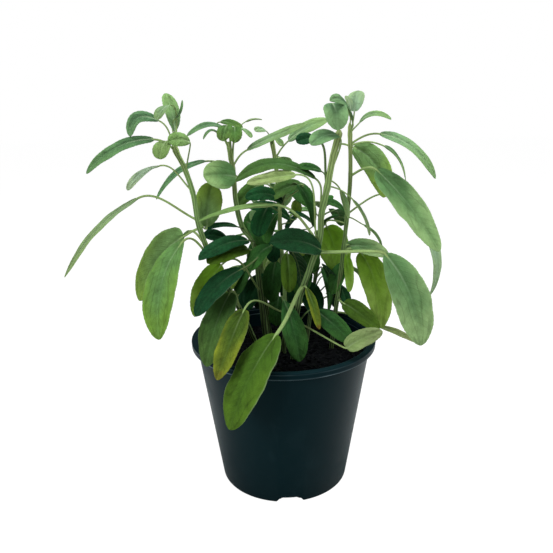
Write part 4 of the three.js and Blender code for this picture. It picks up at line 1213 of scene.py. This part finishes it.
first_stem = LEAFY_STEMS["stem_left"]
print("points of the first stem:", len(stem_row(first_stem, [], (0, 0, 0))["points"]))


# %% Rows as a mesh of edges
def row_mesh(name, rows):
    """One mesh with a chain of edges for each row, and the rows' values on its points."""
    lengths = [len(row["points"]) for row in rows]
    starts = np.cumsum([0, *lengths[:-1]])
    edges = [(start + step, start + step + 1)
             for start, length in zip(starts, lengths) for step in range(length - 1)]
    mesh = bpy.data.meshes.new(name)
    mesh.from_pydata(np.vstack([row["points"] for row in rows]).tolist(), edges, [])
    for key in list(rows[0])[1:]:
        values = np.concatenate([row[key] for row in rows])
        kind, what = ("FLOAT_VECTOR", "vector") if values.ndim == 2 else ("FLOAT", "value")
        stored = mesh.attributes.new(key, kind, "POINT")
        stored.data.foreach_set(what, values.astype(np.float32).ravel())
    return mesh


trial = row_mesh("trial", [stem_row(first_stem, [], (0, 0, 0))])
print("edges of the first stem:", len(trial.edges))
bpy.data.meshes.remove(trial)


# %% [markdown]
# ## Finishes
#
# Every finish is worked out from the surface itself: the leaf from the place along and across
# its blade, stems and stalks from the place along and round them, and the fine grain of all of
# them from the place in space. A noise's scale is given as grains or clouds a metre.

# %% Finish of the pot
POT_COLOUR = colour(9, 28, 32)
POT_WORN_COLOUR = colour(26, 44, 48)
POT_GLOSS = colour(50, 130, 146)
# The colour of the pale highlights painted along the rim's edges.
POT_EDGE_HIGHLIGHT_COLOUR = colour(92, 110, 116)
POT_BLOOM = colour(82, 142, 152)
POT_SPECULAR = 0.06
POT_SHEEN = 0.16
POT_CLOUDS = 28.0
POT_STREAKS = 160.0
POT_GRAIN = 2600.0
STREAK_LENGTHENING = (1.0, 1.0, 0.25)
# Heights of the rim's edges, in mm, where a highlight is painted, each with its strength.
PAINTED_HIGHLIGHT_EDGES = {POT_HEIGHT - RIM_HEIGHT + 0.7: 1.0, POT_HEIGHT - 1.0: 0.35}


def carried(tree, name, output=2):
    """A value that the points of a surface carry: output 2 for a number, 0 for a colour."""
    return node(tree, "ShaderNodeAttribute", {"attribute_name": name}, {}, output)


def bumps(height, strength, distance):
    """The direction of a surface with fine relief."""
    values = {"Strength": strength, "Distance": distance, "Height": height}
    return node(height.tree, "ShaderNodeBump", {}, values)


def pot_finish():
    """Satin, near-black moulded plastic with faint scuffs, and highlights painted on the rim's edges."""
    made, tree, shader, _ = material("pot_plastic")
    place = object_place(tree)
    clouds = cloudy(place, POT_CLOUDS, 5.0)
    streaks = cloudy(place.vector("MULTIPLY", STREAK_LENGTHENING), POT_STREAKS, 4.0)
    worn = clouds.rising(0.52, 0.78) * 0.35 + streaks.rising(0.6, 0.8) * 0.3
    # Painted highlights: pale lines along the rim's lower and upper edges, made patchy by the clouds.
    lines = [(1 - abs(place.part(2) - edge / 1000).rising(0.00015, 0.0005)) * share
             for edge, share in PAINTED_HIGHLIGHT_EDGES.items()]
    painted_highlight = sum(lines) * (0.25 + clouds.rising(0.4, 0.6) * 0.75)
    shade = plain(tree, POT_COLOUR).blend(POT_WORN_COLOUR, worn).blend(POT_EDGE_HIGHLIGHT_COLOUR, painted_highlight)
    set_sockets(shader, {
        "Base Color": shade, "Roughness": 0.34 + worn * 0.35 + clouds * 0.08,
        "Normal": bumps(cloudy(place, POT_GRAIN), 0.12, 0.0002),
        "Specular IOR Level": POT_SPECULAR, "Specular Tint": POT_GLOSS,
        "Sheen Weight": POT_SHEEN, "Sheen Roughness": 0.3, "Sheen Tint": POT_BLOOM,
    })
    return made


pot_plastic = pot_finish()
print("finish of the pot:", len(pot_plastic.node_tree.nodes), "nodes")


# %% Finish of the mix
MIX_DARK = colour(2, 4, 7)
MIX_PALE = colour(13, 15, 17)
MIX_CRUMBS = 420.0
MIX_GRAIN = 900.0


def mix_finish():
    """Moist peat, almost black, with paler crumbs."""
    made, tree, shader, _ = material("moist_mix")
    place = object_place(tree)
    cells = {"Vector": place, "Scale": MIX_CRUMBS}
    pick = node(tree, "ShaderNodeTexVoronoi", {}, cells, 1).part(0)
    fine = cloudy(place, MIX_GRAIN, 6.0)
    paler = pick.rising(0.55, 1.0) * 0.6 + fine * 0.25
    set_sockets(shader, {
        "Base Color": plain(tree, MIX_DARK).blend(MIX_PALE, paler),
        "Roughness": 0.95 - pick.rising(0.7, 0.9) * 0.25,
        "Normal": bumps(fine, 0.6, 0.0006), "Specular IOR Level": 0.1,
    })
    return made


moist = mix_finish()
print("finish of the mix:", len(moist.node_tree.nodes), "nodes")


# %% Finish of a blade
FELT_COLOUR = colour(196, 210, 176)
UNDERSIDE_COLOUR = colour(150, 174, 128)
LIGHT_THROUGH = colour(150, 176, 70)
YELLOWED_COLOUR = colour(132, 142, 40)
BROWNED_COLOUR = colour(112, 74, 34)
YELLOWED_SHARE = 0.48
BROWNED_SHARE = 0.7
# How much painted shade darkens the upper face in its sunken veins, furrows and creases.
VEIN_PAINTED_SHADE = 0.18
FURROW_PAINTED_SHADE = 0.13
CREASE_PAINTED_SHADE = 0.3
UNDERSIDE_SHARE = 0.42
RIB_SHARE = 0.36
MARGIN_SHARE = 0.5
MARGIN_WIDTH = 0.0006
PEBBLES = 950.0
MOTTLES = 190.0
PATCHES = 45.0
FELT_GRAIN = 2400.0


def leaf_lines(tree):
    """A blade's veins, rib, margin, furrows beside the rib, and creases: each 1 on its line."""
    from_rib = abs(carried(tree, "across"))
    distance = from_rib * carried(tree, "half")
    phase = carried(tree, "vein").math("FRACT")
    vein = (1 - abs(phase - 0.5) * 2).rising(0.72, 0.97) * (1 - from_rib.rising(0.55, 0.95))
    rib = 1 - distance.rising(0.00025, 0.0008)
    margin = (from_rib - MARGIN_WIDTH / carried(tree, "half")).rising(0.88, 0.97)
    furrow = distance.rising(0.0004, 0.0009) * (1 - distance.rising(0.001, 0.0026))
    along, across, seed = carried(tree, "along"), carried(tree, "across"), carried(tree, "seed")
    bends = cloudy(vector_of(along * 1.6, across * 1.5, seed * 5.0), 1.0, 1.5)
    between = from_rib.rising(0.08, 0.3) * (1 - from_rib.rising(0.7, 0.95))
    crease = (1 - abs(bends - 0.5).rising(0.0, 0.035)) * between
    return vein, rib, margin, furrow, crease


def leaf_grain(tree):
    """A blade's pebbling, mottling and felt, and large patches: each from 0 to 1."""
    place = object_place(tree)
    cells = {"Vector": place, "Scale": PEBBLES}
    cells = node(tree, "ShaderNodeTexVoronoi", {"feature": "DISTANCE_TO_EDGE"}, cells)
    mottle, felt = cloudy(place, MOTTLES, 5.0), cloudy(place, FELT_GRAIN, 3.0)
    return cells.rising(0.02, 0.35), mottle, felt, cloudy(place, PATCHES, 3.0)


def aged_colour(tree, mottle, patches):
    """A leaf's own colours, with the older one towards the tip, and a faded margin and tip."""
    along, from_rib, old = carried(tree, "along"), abs(carried(tree, "across")), carried(tree, "old")
    aged = (along * 0.85 + (patches - 0.5) * 0.9 + from_rib * 0.35).rising(0.32, 0.98)
    edged = from_rib.rising(0.55, 0.95) + along.rising(0.86, 1.0) * 0.6
    yellowed = (edged * (0.3 + patches.rising(0.4, 0.6))).math("MINIMUM", 1.0) * old
    browned = along.rising(0.86, 0.98) * (0.35 + mottle.rising(0.44, 0.56)) * old
    shade = carried(tree, "base_paint", 0).blend(carried(tree, "tip_paint", 0), aged)
    shade = shade.blend(YELLOWED_COLOUR, yellowed * YELLOWED_SHARE)
    return shade.blend(BROWNED_COLOUR, browned * BROWNED_SHARE)


def leaf_finish():
    """Soft pebbled leaf with sunken veins, pale rib and margin, felted underside, and painted shade."""
    made, tree, shader, output = material("sage_leaf")
    vein, rib, margin, furrow, crease = leaf_lines(tree)
    pebble, mottle, felt, patches = leaf_grain(tree)
    under = carried(tree, "under").rising(0.42, 0.58)
    amount = carried(tree, "felt")
    shade = aged_colour(tree, mottle, patches)
    shade = shade.vector("SCALE", 0.2 + amount * 0.3 + mottle * (1.3 - amount * 0.6) + patches * 0.3)
    # Painted shade: the upper face is darker in its sunken veins, the furrows beside the rib and its
    # creases.
    lines = vein * VEIN_PAINTED_SHADE * (1 - amount * 0.6) + furrow * FURROW_PAINTED_SHADE + crease * CREASE_PAINTED_SHADE
    shade = shade.vector("SCALE", 1 - lines * (1 - under))
    shade = shade.blend(FELT_COLOUR, (pebble * 0.05 + felt * 0.05) * amount)
    pebbled = pebble * (1 - amount * 0.7)
    # The pebbles' hollows are painted darker, as painted shade, on bare leaves more than on felted ones.
    shade = shade.vector("SCALE", 0.86 + amount * 0.1 + pebbled * 0.16)
    shade = shade.blend(UNDERSIDE_COLOUR, under * UNDERSIDE_SHARE * amount)
    shade = shade.blend(FELT_COLOUR, vein * under * 0.2 * (0.3 + amount))
    rib_fade = 1 - carried(tree, "along").rising(0.1, 0.6) * 0.9
    shade = shade.blend(FELT_COLOUR, rib * rib_fade * RIB_SHARE * (0.04 + amount))
    # The pale margin is the felt along it, and in part a painted highlight where the margin catches the
    # light.
    shade = shade.blend(FELT_COLOUR, margin * MARGIN_SHARE * (0.3 + amount * 0.7))
    height = pebbled * 0.5 + felt * 0.1 - vein * 0.5 * (1 - under * 2) - crease * 0.8
    relief = bumps(height, 0.6, 0.0003)
    set_sockets(shader, {"Base Color": shade, "Roughness": 0.78 - pebbled * 0.14, "Normal": relief,
                         "Specular IOR Level": 0.05})
    light = {"Color": LIGHT_THROUGH, "Normal": relief}
    through = node(tree, "ShaderNodeBsdfTranslucent", {}, light)
    mixed = {0: carried(tree, "glow"), 1: Wire(shader.outputs[0]), 2: through}
    set_sockets(output, {"Surface": node(tree, "ShaderNodeMixShader", {}, mixed)})
    return made


leaf_material = leaf_finish()
print("finish of a blade:", len(leaf_material.node_tree.nodes), "nodes")


# %% Finish of stems and stalks
STALK_AGED_COLOUR = colour(92, 96, 54)
STEM_TOP_PAINTED_LIGHT = colour(156, 174, 108)
STALK_STREAKS = 1500.0
STALK_CLOUDS = 60.0
STALK_GRAIN = 3000.0
GROOVE_WANDER = 70.0
GROOVE_PLACE = 0.38
STALK_LENGTHENING = (1.0, 1.0, 0.12)


def stalk_finish():
    """Pale green, finely streaked, browner in places; on stems, painted shade along grooves and low down.
    """
    made, tree, shader, _ = material("sage_stalk")
    place = object_place(tree)
    streaks = cloudy(place.vector("MULTIPLY", STALK_LENGTHENING), STALK_STREAKS)
    clouds = cloudy(place, STALK_CLOUDS, 3.0)
    stem, along = carried(tree, "square"), carried(tree, "along")
    across = carried(tree, "section_x") + cloudy(place, GROOVE_WANDER, 1.0) - 0.5
    groove = 1 - abs(abs(across) - GROOVE_PLACE).rising(0.04, 0.2)
    shade = carried(tree, "paint", 0).blend(STALK_AGED_COLOUR, clouds.rising(0.5, 0.75) * 0.5)
    # Painted light: stems are paler towards their tops, as the light falls there.
    shade = shade.blend(STEM_TOP_PAINTED_LIGHT, stem * along.rising(0.7, 0.95) * 0.65)
    shade = shade.vector("SCALE", 0.66 + streaks * 0.68)
    # Painted shade: stems are darker in the lines of their grooves and towards the bottom, inside the
    # plant.
    shade = shade.vector("SCALE", 1 - stem * (groove * 0.5 + (1 - along.rising(0.2, 0.75)) * 0.5))
    set_sockets(shader, {
        "Base Color": shade, "Roughness": 0.6 + streaks * 0.2,
        "Normal": bumps(streaks + cloudy(place, STALK_GRAIN), 0.4, 0.0002),
        "Specular IOR Level": 0.25,
    })
    return made


stalk_material = stalk_finish()
print("finish of stems and stalks:", len(stalk_material.node_tree.nodes), "nodes")


# %% Finish of the hairs
HAIR_COLOUR = colour(206, 218, 196)
HAIR_PATCHES = 300.0


def hair_finish():
    """Pale and dull, and paler in places."""
    made, tree, shader, _ = material("sage_hairs")
    patches = cloudy(object_place(tree), HAIR_PATCHES)
    shade = plain(tree, HAIR_COLOUR).vector("SCALE", 0.8 + patches * 0.4)
    set_sockets(shader, {"Base Color": shade, "Roughness": 0.9, "Specular IOR Level": 0.1})
    return made


hair_material = hair_finish()
print("finish of the hairs:", len(hair_material.node_tree.nodes), "nodes")


# %% [markdown]
# ## Dressing the solid model
#
# Each node of the solid model is replaced by the finer piece of the same form. The leafy stems
# are grown one after another, with a small random change of colour for each leaf, which comes
# from a fixed seed.

# %% Dress the pot and the mix
pot.data.materials.clear()
pot.data.materials.append(pot_plastic)
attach(pot, "root")
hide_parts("pot")


def joined(name, meshes):
    """One object from several meshes, each with its own materials."""
    parts = [link(name + "_part", mesh) for mesh in meshes]
    with bpy.context.temp_override(active_object=parts[0], selected_editable_objects=parts):
        bpy.ops.object.join()
    parts[0].name = name
    parts[0].data.name = name
    return parts[0]


crumbs = grow(mix_mesh.copy(), strew_crumbs, {"Material": moist})
mix_mesh.materials.append(moist)
mix = joined("mix_with_crumbs", [mix_mesh, crumbs])
mix.data.shade_smooth()
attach(mix, "root")
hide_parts("potting_mix")
print("mix:", len(mix.data.polygons), "faces")


# %% Grow the leafy stems
PAINT_CHANGE = 0.07
STEM_PAINT = colour(112, 144, 82)[:3]
# The second, darker stalk paint is painted shade, for stalks of the kinds deep and shade inside the
# plant.
STALK_PAINTS = [colour(128, 154, 92)[:3], colour(78, 102, 56)[:3]]
SHADED_KINDS = ["deep", "shade"]

LARGEST_SEED = 6

random = np.random.default_rng(12)


def make_leafy_stem(name, stem):
    """All the blades, stalks and the stem itself as one piece."""
    blades = []
    rods = [stem_row(stem, [leaf[1] for leaf in stem["leaves"]], STEM_PAINT)]
    for leaf in stem["leaves"]:
        kind_name, height, base, tip, width, arch, roll_degrees = leaf[:7]
        more = leaf[7] if len(leaf) > 7 else {}
        kind, roll = LEAF_KINDS[kind_name], math.radians(roll_degrees)
        stalk, rib, level = leaf_curves(stem["axis"], height, base, tip, arch, roll, more)
        # A leaf's `light` makes its paint lighter or darker, in part as painted light or shade.
        change = (1 + random.uniform(-PAINT_CHANGE, PAINT_CHANGE, 3)) * more.get("light", 1)
        seed = random.uniform(0, LARGEST_SEED)
        blades.append(blade_row(rib, level, width, roll, more.get("widest"), kind, change, seed))
        stalk_paint = STALK_PAINTS[kind_name in SHADED_KINDS]
        rods.append(stalk_row(stalk, rib, level, roll, more.get("stalk"), stalk_paint))
    blade_mesh = grow(row_mesh(name + "_ribs", blades), blade, {"Material": leaf_material})
    rod_mesh = grow(row_mesh(name + "_rods", rods), rod, {"Material": stalk_material})
    hair_mesh = grow(rod_mesh.copy(), hair, {"Material": hair_material})
    piece = joined("leafy_" + name, [blade_mesh, rod_mesh, hair_mesh])
    piece.data.shade_smooth()
    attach(piece, "root")
    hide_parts(name)
    return piece


leafy_stems = [make_leafy_stem(name, stem) for name, stem in LEAFY_STEMS.items()]
for piece in leafy_stems:
    piece.data.calc_loop_triangles()
    print(piece.name, len(piece.data.loop_triangles), "triangles")
